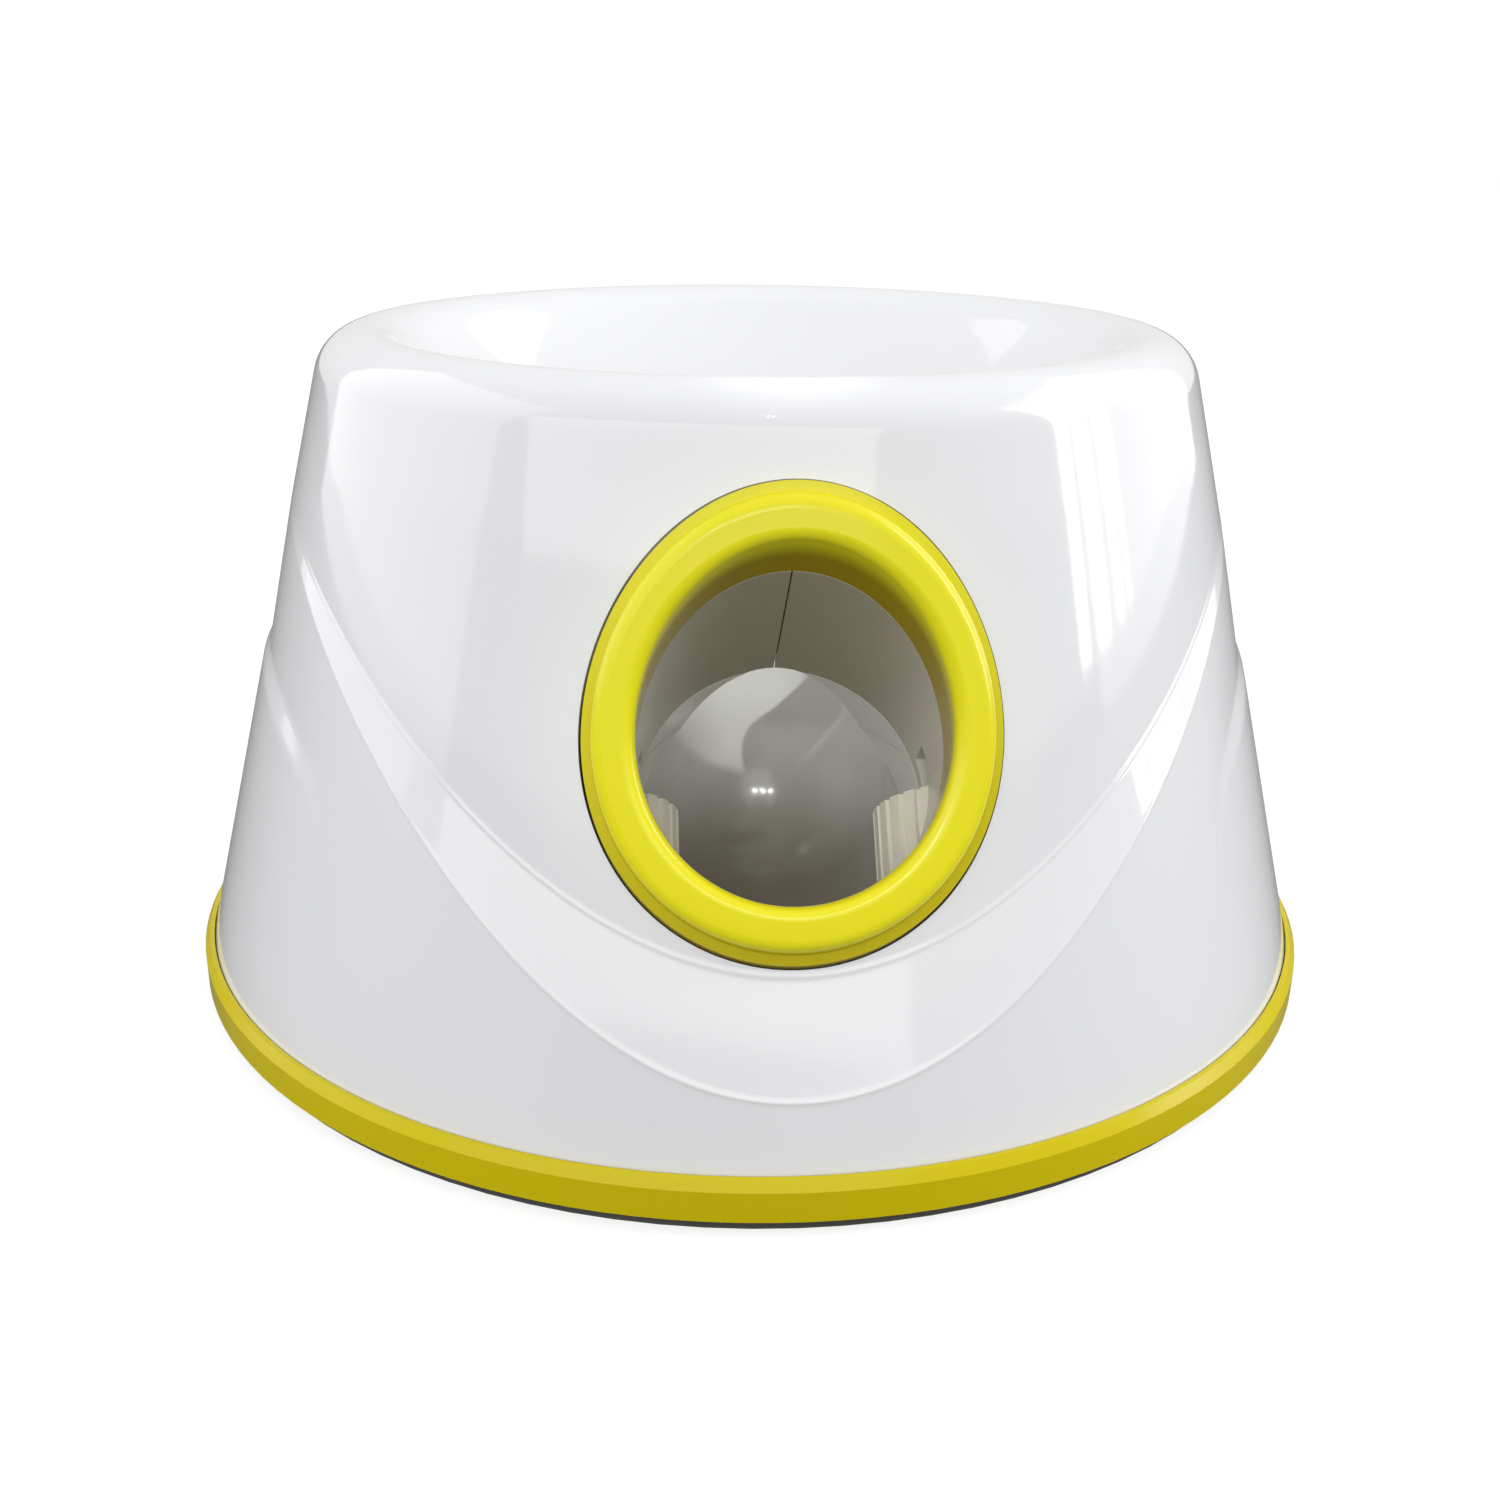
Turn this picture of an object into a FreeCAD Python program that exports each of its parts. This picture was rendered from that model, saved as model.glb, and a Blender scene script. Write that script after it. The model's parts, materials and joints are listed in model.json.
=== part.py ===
import FreeCAD, Part
import math
import os
import Sketcher
from FreeCAD import Placement, Rotation, Vector

# Automatic ball launcher for dogs: a cone-shaped cabinet whose rolled rim runs into a hopper,
# a drop tube and elbow under the hopper, two ribbed flywheels and an upward sloping barrel.
# Frame: +Z up, the floor at Z = 0, the launch port faces -Y, the cabinet's axis is Z.

doc = FreeCAD.newDocument("ball_launcher")

# ---------------------------------------------------------------- driving dimensions (mm, degrees)
SIZES = {
    # cabinet shell
    "shell_radius": 142.3,
    "wall_slope": 14.43,
    "wall": 3.0,
    "overall_height": 161.2,
    "rim_round": 12.4,
    "shoulder_height": 134.0,
    "fit_gap": 0.3,
    "post_radius": 4.5,
    "post_inset": 21.3,
    "post_height": 26.0,
    "post_thread": 15.0,
    "post_rib": 2.4,
    "post_rib_reach": 30.0,
    "post_rib_low": 4.0,
    "post_rib_drop": 2.0,
    # base pan, its ring and its feet
    "ring_wall": 2.7,
    "ring_lip": 1.35,
    "ring_face": 6.9,
    "ring_chamfer": 2.3,
    "pan_floor": 2.5,
    "ledge_rise": 4.0,
    "ledge_width": 9.0,
    "boss_wall": 2.0,
    "foot_height": 3.4,
    "foot_radius": 9.0,
    "foot_inset": 20.3,
    # swoosh on the cabinet's front
    "swoosh_low": 26.8,
    "swoosh_high": 50.0,
    "swoosh_low_rise": 153.9,
    "swoosh_high_rise": 121.5,
    "swoosh_step": 3.2,
    "swoosh_reach": 80.0,
    # hopper
    "hopper_slope": 55.0,
    "hopper_height": 106.0,
    "hopper_wall": 2.6,
    "hole_lip": 0.5,
    "hole_inset": 108.3,
    # ball path
    "bore_radius": 31.0,
    "tube_wall": 2.5,
    "port_height": 98.5,
    "barrel_tilt": 40.0,
    "barrel_end": 47.0,
    "elbow_height": 52.5,
    "split_rise": 22.5,
    "collar_wall": 2.5,
    "collar_height": 9.0,
    "collar_drop": 5.0,
    "collar_gap_along": 30.0,
    "collar_gap_start": 16.0,
    # port bezel
    "bezel_width": 10.6,
    "bead_inset": 1.9,
    "bezel_step": 1.7,
    "bezel_proud": 5.0,
    "bezel_seat": 1.0,
    "sleeve_wall": 3.0,
    "sleeve_depth": 9.0,
    "bead_round": 3.2,
    "lip_round": 2.4,
    # barrel's motor plates and legs
    "plate": 2.0,
    "plate_reach": 16.2,
    "plate_along": 8.0,
    "plate_tuck": 13.0,
    "web_reach": 14.2,
    "web_tuck": 9.0,
    "web_depth": 8.0,
    "leg_across": 12.0,
    "leg_along": 10.0,
    "leg_height": 56.0,
    "leg_offset": 9.0,
    "leg_inward": 13.0,
    "notch_inset": 1.0,
    "notch_across": 10.0,
    "notch_along": 9.0,
    "notch_rise": 8.0,
    # elbow's supports
    "saddle_across": 44.0,
    "saddle": 3.0,
    "saddle_height": 32.0,
    "saddle_offset": 12.0,
    "cup_plate_across": 57.0,
    "cup_plate_along": 33.0,
    "cup_plate_rise": 2.5,
    "cup_screw_across": 24.0,
    "cup_screw_along": 12.0,
    # flywheels and their motors
    "wheel_radius": 22.0,
    "wheel_height": 20.0,
    "wheel_nip": 43.6,
    "wheel_depth": 55.0,
    "wheel_top": 0.0,
    "wheel_clearance": 1.5,
    "wheel_ribs": 30,
    "rib_depth": 0.9,
    "groove_low_half": 0.6,
    "groove_high_half": 1.1,
    "hub_radius": 13.0,
    "hub_rim": 2.0,
    "hub_core": 4.0,
    "hub_end_gap": 2.0,
    "hub_web_low": 8.0,
    "hub_web_high": 11.0,
    "motor_radius": 13.85,
    "motor_length": 31.0,
    "motor_nose": 4.0,
    "motor_tail": 5.0,
    "motor_tail_length": 1.6,
    "motor_screw_across": 8.0,
    "motor_pad": 3.0,
    "motor_shaft_radius": 1.15,
    "motor_shaft_reach": 22.0,
    "shaft_clearance": 0.05,
    # ball sensor
    "sensor_rise": 10.0,
    "sensor_lens": 2.5,
    "sensor_lens_length": 4.0,
    "sensor_card": 1.6,
    "sensor_card_along": 12.0,
    "sensor_card_height": 14.0,
    "sensor_card_low": 3.0,
    # feed gate
    "gate_drop": 18.0,
    "gate_x": 50.0,
    "gate_along": 24.0,
    "gate_short": 3.5,
    "gate_width": 12.0,
    "gate_thickness": 3.0,
    "gate_swing": 48.0,
    "gate_slot_margin": 20.0,
    "gate_slot_gap": 1.0,
    "gate_slot_reach": 1.5,
    "gate_shaft_room": 0.7,
    "gate_hub": 7.0,
    "gate_hub_height": 8.0,
    "gate_hub_drop": 3.5,
    "gate_shaft": 1.5,
    "gate_shaft_length": 18.0,
    "gate_shaft_drop": 14.0,
    "gate_shelf": 3.0,
    "gate_shelf_drop": 8.0,
    "gate_shelf_half": 12.0,
    "gearbox_across": 12.0,
    "gearbox_along": 20.0,
    "gearbox_height": 9.0,
    "gear_can": 6.0,
    "gear_can_length": 17.0,
    "gear_can_offset": 3.0,
    # battery compartment
    "cell_radius": 13.1,
    "cell_length": 50.0,
    "cell_gap": 1.2,
    "cell_middle": 4.0,
    "cell_under": 0.2,
    "cell_over": 1.0,
    "cell_rows": 3,
    "spring_room": 3.0,
    "spring_radius": 4.5,
    "spring_length": 2.6,
    "contact_size": 12.0,
    "link_length": 7.6,
    "link_size": 7.0,
    "box_front": 8.0,
    "box_wall": 2.0,
    "box_rim": 4.0,
    "ear_across": 8.0,
    "ear_along": 10.0,
    "ear_rise": 3.0,
    "ear_offset": 5.0,
    "cover_thickness": 2.2,
    "cover_tab": 8.0,
    "cover_tab_across": 32.0,
    "tab_root_along": 3.0,
    "tab_root_rise": 1.6,
    "tab_root_low": 1.5,
    "tab_lip_along": 4.5,
    "tab_lip": 1.2,
    "tab_gap": 0.1,
    # control board
    "board_thickness": 1.6,
    "board_stand": 8.6,
    "board_across": 76.0,
    "board_along": 52.0,
    "board_edge": 5.0,
    "board_post": 3.0,
    "beeper_radius": 6.0,
    "beeper_height": 8.5,
    "capacitor_radius": 4.0,
    "capacitor_height": 11.0,
    # rear control panel
    "panel_height": 47.0,
    "panel_width": 74.0,
    "panel_tall": 27.0,
    "panel_proud": 0.8,
    "panel_flange": 2.2,
    "panel_flange_wide": 3.0,
    "panel_post": 2.4,
    "panel_post_across": 32.0,
    "panel_board_depth": 15.6,
    "button_radius": 7.0,
    "button_across": 21.0,
    "button_travel": 1.2,
    "button_proud": 0.6,
    "button_cap_depth": 9.2,
    "button_flange": 1.2,
    "button_stem": 1.8,
    "button_stem_length": 0.8,
    "switch_size": 6.0,
    "switch_height": 3.0,
    "light_radius": 1.6,
    "light_pitch": 7.0,
    "light_proud": 1.1,
    "light_clearance": 0.1,
    "card_across": 70.0,
    "card_tall": 18.0,
    # power inlet
    "inlet_height": 23.0,
    "inlet_radius": 4.6,
    "inlet_proud": 0.5,
    "inlet_neck": 9.5,
    "inlet_body": 13.0,
    "inlet_body_tall": 11.0,
    "inlet_body_depth": 14.5,
    "inlet_socket": 2.9,
    "inlet_socket_depth": 8.5,
    "inlet_pin": 1.0,
    "inlet_pin_depth": 1.0,
    # fasteners
    "screw_radius": 1.5,
    "screw_head": 3.0,
    "screw_boss": 4.2,
    "screw_boss_height": 9.0,
    "small_screw": 1.2,
    "small_head": 2.5,
    "thread_gap": 0.02,
    "shank_gap": 0.2,
    "head_depth": 3.5,
    "head_height": 2.2,
    "low_head_depth": 1.2,
    "low_head_height": 1.1,
    "low_screw_length": 9.0,
    "cover_screw_length": 11.0,
    "motor_screw_length": 5.5,
    "motor_thread": 4.0,
    "motor_head": 2.0,
    "motor_head_height": 1.0,
    "board_screw_length": 7.5,
    "board_head_height": 1.2,
    "panel_screw": 1.0,
    "panel_screw_length": 6.6,
    "panel_head": 2.0,
    "panel_head_height": 1.2,
}

sheet = doc.addObject("Spreadsheet::Sheet", "sizes")
for row, (alias, value) in enumerate(SIZES.items(), start=1):
    sheet.set("A%d" % row, alias)
    sheet.set("B%d" % row, str(value))
    sheet.setAlias("B%d" % row, alias)
doc.recompute()


def num(expression):
    """The value of an expression over the spreadsheet's cells."""
    value = sheet.evalExpression(expression.replace("sizes.", ""))
    return float(getattr(value, "Value", value))


# ---------------------------------------------------------------- shared levels and lines
PAN_Z = "sizes.foot_height"
FLOOR_Z = "(sizes.foot_height + sizes.pan_floor)"
LEDGE_Z = "(%s + sizes.ledge_rise)" % FLOOR_Z
RING_Z = "(sizes.foot_height + sizes.ring_face + sizes.ring_chamfer)"
BASE_R = "(sizes.shell_radius + sizes.ring_wall)"
TUBE_OUTER = "(sizes.bore_radius + sizes.tube_wall)"
SLEEVE_R = "(sizes.bore_radius + sizes.sleeve_wall)"
BEZEL_R = "(sizes.bore_radius + sizes.bezel_width)"
BEAD_R = "(%s - sizes.bead_inset)" % BEZEL_R
HOLE_R = "(sizes.bore_radius - sizes.hole_lip)"
WALL_ACROSS = "(sizes.wall / cos(sizes.wall_slope))"
SPLIT_Z = "(sizes.elbow_height + sizes.split_rise)"
FIT = "sizes.fit_gap"
THREAD = "sizes.thread_gap"


def wall_radius(height):
    """Outer radius of the cabinet's plain cone at a height."""
    return "(sizes.shell_radius - tan(sizes.wall_slope) * ((%s) - %s))" % (height, RING_Z)


SHOULDER_R = wall_radius("sizes.shoulder_height")
SWOOSH_R = "(%s - sizes.swoosh_step)" % wall_radius("sizes.swoosh_high")
FACE_SLOPE = "((%s - %s) / (sizes.shoulder_height - sizes.swoosh_high))" % (SWOOSH_R, SHOULDER_R)


def face_radius(height, offset="0"):
    """Radius of the cone that the port's face follows, moved out by an offset."""
    return "(%s + %s * (sizes.shoulder_height - (%s)) + (%s))" % (
        SHOULDER_R, FACE_SLOPE, height, offset)


PORT_Y = "(-%s)" % wall_radius("sizes.port_height")


def tilted(across, inward, above):
    """A point given along the barrel: sideways, inward from the port, and above its axis."""
    y = "(%s + (%s) * cos(sizes.barrel_tilt) + (%s) * sin(sizes.barrel_tilt))" % (
        PORT_Y, inward, above)
    z = "(sizes.port_height - (%s) * sin(sizes.barrel_tilt) + (%s) * cos(sizes.barrel_tilt))" % (
        inward, above)
    return across, y, z


ELBOW_INWARD = "((sizes.port_height - sizes.elbow_height) / sin(sizes.barrel_tilt))"
ELBOW_Y = tilted("0", ELBOW_INWARD, "0")[1]
HOLE_Y = "(sizes.hole_inset - sizes.shell_radius)"


# ---------------------------------------------------------------- small builders
def bind(item, **expressions):
    for name, expression in expressions.items():
        item.setExpression(name.replace("__", "."), expression)
    return item


def place(item, point, axis=None, angle=None):
    """Bind an object's position, and its turn about a fixed axis, to expressions."""
    if axis is not None:
        item.Placement = Placement(Vector(), Rotation(Vector(*axis), 10))
        item.setExpression("Placement.Rotation.Angle", angle)
    for letter, expression in zip("xyz", point):
        item.setExpression("Placement.Base." + letter, expression)
    return item


def cylinder(name, radius, height, point, axis=None, angle=None):
    item = doc.addObject("Part::Cylinder", name)
    bind(item, Radius=radius, Height=height)
    return place(item, point, axis, angle)


def box(name, length, width, height, point, axis=None, angle=None):
    item = doc.addObject("Part::Box", name)
    bind(item, Length=length, Width=width, Height=height)
    return place(item, point, axis, angle)


def ball(name, radius, point):
    item = doc.addObject("Part::Sphere", name)
    bind(item, Radius=radius)
    return place(item, point)


def face_cone(name, offset, low="sizes.foot_height", high="sizes.overall_height"):
    """A solid cone on the cabinet's axis that the port's face follows."""
    item = doc.addObject("Part::Cone", name)
    bind(item, Radius1=face_radius(low, offset), Radius2=face_radius(high, offset),
         Height="%s - %s" % (high, low))
    return place(item, ("0", "0", low))


def wall_cone(name, offset, low, high):
    """A solid cone that follows the cabinet's plain wall."""
    item = doc.addObject("Part::Cone", name)
    bind(item, Radius1="%s + (%s)" % (wall_radius(low), offset),
         Radius2="%s + (%s)" % (wall_radius(high), offset), Height="%s - %s" % (high, low))
    return place(item, ("0", "0", low))


def fuse(name, *items):
    item = doc.addObject("Part::MultiFuse", name)
    item.Shapes = list(items)
    item.Refine = False
    return item


def chain(name, items):
    """Pieces joined one after another, for round pieces that touch along circles."""
    whole = items[0]
    for index, item in enumerate(items[1:], start=1):
        joined = doc.addObject("Part::Fuse", "%s_%d" % (name, index))
        joined.Base = whole
        joined.Tool = item
        joined.Refine = False
        whole = joined
    return whole


def common(name, *items):
    item = doc.addObject("Part::MultiCommon", name)
    item.Shapes = list(items)
    item.Refine = False
    return item


def cut(name, base, tool):
    item = doc.addObject("Part::Cut", name)
    item.Base = base
    item.Tool = tool
    item.Refine = False
    return item


def group(name, *items):
    item = doc.addObject("Part::Compound", name)
    item.Links = list(items)
    return item


def solid_feature(name, shape):
    item = doc.addObject("Part::Feature", name)
    item.Shape = shape
    return item


def new_body(name):
    return doc.addObject("PartDesign::Body", name)


def new_sketch(body, name, role="XY_Plane"):
    plane = [item for item in body.Origin.OriginFeatures if item.Role == role][0]
    sketch = body.newObject("Sketcher::SketchObject", name)
    sketch.AttachmentSupport = [(plane, "")]
    sketch.MapMode = "FlatFace"
    return sketch


def fix_point(sketch, geometry, position, x, y):
    """Hold a sketch point at two expressions measured from the sketch's origin."""
    for kind, expression in (("DistanceX", x), ("DistanceY", y)):
        value = num(expression)
        index = sketch.addConstraint(
            Sketcher.Constraint(kind, -1, 1, geometry, position, value))
        sketch.setExpression("Constraints[%d]" % index, expression)


def outline(sketch, points):
    """A closed outline of straight lines whose corners are bound to expressions."""
    corners = [Vector(num(x), num(y), 0) for x, y in points]
    count = len(corners)
    for index in range(count):
        line = Part.LineSegment(corners[index], corners[(index + 1) % count])
        sketch.addGeometry(line, False)
    for index in range(count):
        sketch.addConstraint(Sketcher.Constraint("Coincident", index, 2, (index + 1) % count, 1))
        fix_point(sketch, index, 1, *points[index])
    return sketch


def round_outline(sketch, radius, x="0", y="0"):
    """A circle bound to a radius and a centre."""
    circle = Part.Circle(Vector(num(x), num(y), 0), Vector(0, 0, 1), num(radius))
    geometry = sketch.addGeometry(circle, False)
    index = sketch.addConstraint(Sketcher.Constraint("Radius", geometry, num(radius)))
    sketch.setExpression("Constraints[%d]" % index, radius)
    fix_point(sketch, geometry, 3, x, y)
    return sketch


def turned(name, points):
    """A body turned about its Z axis from an outline of (radius, height) corners."""
    body = new_body(name)
    sketch = outline(new_sketch(body, name + "_profile", "XZ_Plane"), points)
    spin = body.newObject("PartDesign::Revolution", name + "_turn")
    spin.Profile = sketch
    spin.ReferenceAxis = (sketch, ["V_Axis"])
    spin.Angle = 360
    return body


def pad(body, sketch, length, name, reverse=False):
    item = body.newObject("PartDesign::Pad", name)
    item.Profile = sketch
    item.setExpression("Length", length)
    item.Reversed = reverse
    return item


def pocket(body, sketch, length, name, reverse=False):
    item = body.newObject("PartDesign::Pocket", name)
    item.Profile = sketch
    item.setExpression("Length", length)
    item.Reversed = reverse
    return item


# ---------------------------------------------------------------- cabinet shell
def swoosh_height(azimuth, base, rise):
    """Height of a swoosh edge on the cone, a parabola as seen from the front."""
    height = num(base)
    for _ in range(12):
        radius = num("sizes.shell_radius") - slope * (height - num(RING_Z))
        across = radius * math.sin(azimuth) / num("sizes.shell_radius")
        height = num(base) + num(rise) * across ** 2
    return height


def swoosh_inset(azimuth):
    """How far the wall above the swoosh lies inside the plain cone."""
    turn = math.degrees(azimuth) / num("sizes.swoosh_reach")
    if abs(turn) >= 1:
        return 0.0
    return num("sizes.swoosh_step") * math.cos(turn * math.pi / 2) ** 2


def quarters(start, edge_between):
    """A closed ring made of four edges, so that no face wraps round the cabinet."""
    return Part.Wire([edge_between(start + 90 * index, start + 90 * (index + 1))
                      for index in range(4)])


def level_ring(height, radius, shift=0.0):
    """A level circle around the axis, or one moved along Y."""
    circle = Part.Circle(Vector(0, shift, height), Vector(0, 0, 1), radius)
    return quarters(RING_START, lambda low, high: Part.ArcOfCircle(
        circle, math.radians(low), math.radians(high)).toShape())


def skin_ring(height_at, radius_at):
    """A closed curve around the cabinet whose height and radius change with the azimuth."""
    def edge_between(low, high):
        points = []
        for index in range(RING_POINTS + 1):
            angle = math.radians(low + (high - low) * index / RING_POINTS)
            azimuth = math.atan2(math.cos(angle), -math.sin(angle))
            height = height_at(azimuth)
            radius = radius_at(azimuth, height)
            points.append(Vector(radius * math.cos(angle), radius * math.sin(angle), height))
        curve = Part.BSplineCurve()
        curve.interpolate(Points=points)
        return curve.toShape()
    return quarters(RING_START, edge_between)


def cone_radius(height):
    return num("sizes.shell_radius") - slope * (height - num(RING_Z))


def skirt_rings(inset):
    """The wall's rings up to the shoulder, moved inward by an inset."""
    return [
        level_ring(num(LEDGE_Z), num("sizes.shell_radius") - inset),
        level_ring(num(RING_Z), num("sizes.shell_radius") - inset),
        skin_ring(lambda a: swoosh_height(a, "sizes.swoosh_low", "sizes.swoosh_low_rise"),
                  lambda a, z: cone_radius(z) - inset),
        skin_ring(lambda a: swoosh_height(a, "sizes.swoosh_high", "sizes.swoosh_high_rise"),
                  lambda a, z: cone_radius(z) - swoosh_inset(a) - inset),
        level_ring(num("sizes.shoulder_height"),
                   cone_radius(num("sizes.shoulder_height")) - inset),
    ]


def rim_rings(radius, steps):
    """The rolled rim's rings, from the wall over the crest to the start of the hopper."""
    rim_round = num("sizes.rim_round")
    centre_z = num("sizes.overall_height") - rim_round
    centre_r = cone_radius(centre_z) - rim_round / math.cos(wall_angle)
    first = wall_angle
    last = math.pi / 2 + hopper_angle
    rings = []
    for step in range(steps + 1):
        angle = first + (last - first) * step / steps
        ring_z = centre_z + radius * math.sin(angle)
        ring_r = centre_r + radius * math.cos(angle)
        rings.append(level_ring(ring_z, ring_r))
    return rings, ring_r, ring_z


def hopper_rings(start_radius, start_z, end_radius):
    """The hopper's rings: a dish that slides toward the hole and flattens on its way."""
    end_z = num("sizes.hopper_height")
    drop = start_z - end_z
    reach = start_radius - end_radius
    first = math.tan(hopper_angle) * reach / drop
    rings = []
    for step in range(1, HOPPER_STEPS + 1):
        share = step / HOPPER_STEPS
        fall = first * share + (3 - 2 * first - HOPPER_END) * share ** 2 \
            + (first + HOPPER_END - 2) * share ** 3
        slide = share * share * (3 - 2 * share)
        rings.append(level_ring(start_z - drop * fall, start_radius - reach * share,
                                num(HOLE_Y) * slide))
    return rings


def skin_solid(name, inset, rim_radius, rim_steps, hole_radius):
    """Everything under one skin of the shell: wall, rim and hopper as one solid."""
    over_rim, rim_end, rim_end_z = rim_rings(rim_radius, rim_steps)
    rings = skirt_rings(inset) + over_rim + hopper_rings(rim_end, rim_end_z, hole_radius)
    return solid_feature(name, Part.makeLoft(rings, True, True))


RING_START = 45
RING_POINTS = 12
OUTER_RIM_STEPS = 14
INNER_RIM_STEPS = 10
HOPPER_STEPS = 8
HOPPER_END = 0.35
wall_angle = math.radians(num("sizes.wall_slope"))
hopper_angle = math.radians(num("sizes.hopper_slope"))
slope = math.tan(wall_angle)
outer_skin = skin_solid("outer_skin", 0.0, num("sizes.rim_round"), OUTER_RIM_STEPS, num(HOLE_R))
inner_skin = skin_solid("inner_skin", num(WALL_ACROSS), num("sizes.rim_round - sizes.wall"),
                        INNER_RIM_STEPS, num(HOLE_R + " + sizes.hopper_wall"))
shell_skin = cut("shell_skin", outer_skin, inner_skin)

# posts that hang from the wall and take the screws of the base pan
OUTWARD = ((1, 0, 0), "90 - sizes.barrel_tilt")
WHEEL_AXIS = ((-1, 0, 0), "sizes.barrel_tilt")
ALONG_X = ((0, 1, 0), "90")
POST_CIRCLE = "(sizes.shell_radius - sizes.post_inset)"
POST_TOP = "(%s + sizes.post_height)" % LEDGE_Z
SCREW_TOP = "(%s + sizes.post_thread)" % LEDGE_Z
CORNERS = [("%d * %s * cos(45)" % (x, POST_CIRCLE), "%d * %s * sin(45)" % (y, POST_CIRCLE))
           for x, y in ((1, 1), (-1, 1), (-1, -1), (1, -1))]

posts = []
ribs = []
post_holes = []
for index, (x, y) in enumerate(CORNERS):
    heading = 45 + 90 * index
    posts.append(cylinder("post_%d" % index, "sizes.post_radius", "sizes.post_height", (x, y, LEDGE_Z)))
    rib_x = "%s + sizes.post_rib / 2 * sin(%d)" % (x, heading)
    rib_y = "%s - sizes.post_rib / 2 * cos(%d)" % (y, heading)
    ribs.append(box("rib_%d" % index, "sizes.post_rib_reach", "sizes.post_rib",
                    "sizes.post_height - sizes.post_rib_low - sizes.post_rib_drop",
                    (rib_x, rib_y, LEDGE_Z + " + sizes.post_rib_low"), (0, 0, 1), str(heading)))
    post_holes.append(cylinder("post_hole_%d" % index, "sizes.screw_radius + " + THREAD,
                               "sizes.post_thread + sizes.screw_radius", (x, y, LEDGE_Z)))
shell_ribs = common("shell_ribs", fuse("rib_set", *ribs), outer_skin)
shell_blank = fuse("shell_blank", shell_skin, shell_ribs, *posts)


# ---------------------------------------------------------------- rear panel and inlet frames
PANEL_TURN = ((-1, 0, 0), "90 - sizes.wall_slope")
CUTTER = "44"
DEEP = "(-%s / 2)" % CUTTER
BEHIND = "(-%s - %s / 2)" % (WALL_ACROSS, FIT)


def on_wall(height, across, down, out):
    """A point given from the rear wall: sideways, down the wall, and out from it."""
    y = "(%s + (%s) * sin(sizes.wall_slope) + (%s) * cos(sizes.wall_slope))" % (
        wall_radius(height), down, out)
    z = "(%s - (%s) * cos(sizes.wall_slope) + (%s) * sin(sizes.wall_slope))" % (height, down, out)
    return across, y, z


def stadium(name, grow):
    """A bar with round ends that stands through the rear wall."""
    radius = "(sizes.panel_tall / 2 + (%s))" % grow
    straight = "(sizes.panel_width / 2 - sizes.panel_tall / 2)"
    middle = box(name + "_bar", "2 * " + straight, "2 * " + radius, CUTTER,
                 on_wall("sizes.panel_height", "-" + straight, "-" + radius, DEEP), *PANEL_TURN)
    ends = [cylinder("%s_end_%d" % (name, side), radius, CUTTER,
                     on_wall("sizes.panel_height", "%d * %s" % (side, straight), "0", DEEP),
                     *PANEL_TURN) for side in (-1, 1)]
    return fuse(name, middle, *ends)


panel_opening = stadium("panel_opening", FIT)
inlet_hole = cylinder("inlet_hole", "sizes.inlet_radius + " + FIT, CUTTER,
                      on_wall("sizes.inlet_height", "0", "0", DEEP), *PANEL_TURN)


# ---------------------------------------------------------------- port hole, bezel and its seat
PORT_DEEP = "28"
PORT_FAR = "-60"
BORE_DEEP = "(sizes.barrel_end + 30)"
NEAR = 0.01


def along_barrel(name, radius, start, end):
    """A cylinder on the barrel's axis from one inward distance out to a smaller one."""
    return cylinder(name, radius, "(%s) - (%s)" % (start, end), tilted("0", start, "0"), *OUTWARD)


port_hole = along_barrel("port_hole", "%s + %s" % (SLEEVE_R, FIT), PORT_DEEP, PORT_FAR)
seat_cone = face_cone("seat_cone", "-sizes.bezel_seat")
seat_tool = cut("seat_tool", along_barrel("seat_round", "%s + %s" % (BEZEL_R, FIT),
                                          PORT_DEEP, PORT_FAR), seat_cone)
shell_seat = cut("shell_seat", cut("shell_port", shell_blank, port_hole), seat_tool)
outer_shell = cut("outer_shell", shell_seat,
                  fuse("shell_tools", panel_opening, inlet_hole, *post_holes))

flange = common("bezel_flange", along_barrel("flange_round", BEZEL_R, PORT_DEEP, PORT_FAR),
                face_cone("flange_cone", "sizes.bezel_step"))
bead = common("bezel_bead", along_barrel("bead_round_bar", BEAD_R, PORT_DEEP, PORT_FAR),
              face_cone("bead_cone", "sizes.bezel_proud"))
collar = cut("bezel_collar", fuse("bezel_front", flange, bead), seat_cone)
sleeve = cut("bezel_sleeve",
             common("sleeve_bar", along_barrel("sleeve_round", SLEEVE_R, BORE_DEEP, PORT_FAR),
                    face_cone("sleeve_front", "0")),
             face_cone("sleeve_back", "-sizes.sleeve_depth"))
bezel_blank = cut("bezel_blank", fuse("bezel_whole", collar, sleeve),
                  along_barrel("bezel_bore", "sizes.bore_radius", BORE_DEEP, PORT_FAR))
doc.recompute()


def barrel_distance(point):
    """Distance of a point from the barrel's axis."""
    start = Vector(*[num(value) for value in tilted("0", "0", "0")])
    tilt = math.radians(num("sizes.barrel_tilt"))
    direction = Vector(0, -math.cos(tilt), math.sin(tilt))
    return (point - start).cross(direction).Length


def rim_edges(shape, distance, offset):
    """Numbers of the edges that run round the axis at a distance, on the cone with an offset."""
    found = []
    for number, edge in enumerate(shape.Edges, start=1):
        middle = edge.valueAt((edge.FirstParameter + edge.LastParameter) / 2)
        radius = math.hypot(middle.x, middle.y)
        on_cone = abs(radius - num(face_radius(str(middle.z), offset))) < NEAR
        if on_cone and abs(barrel_distance(middle) - num(distance)) < NEAR:
            found.append(number)
    return found


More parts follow.
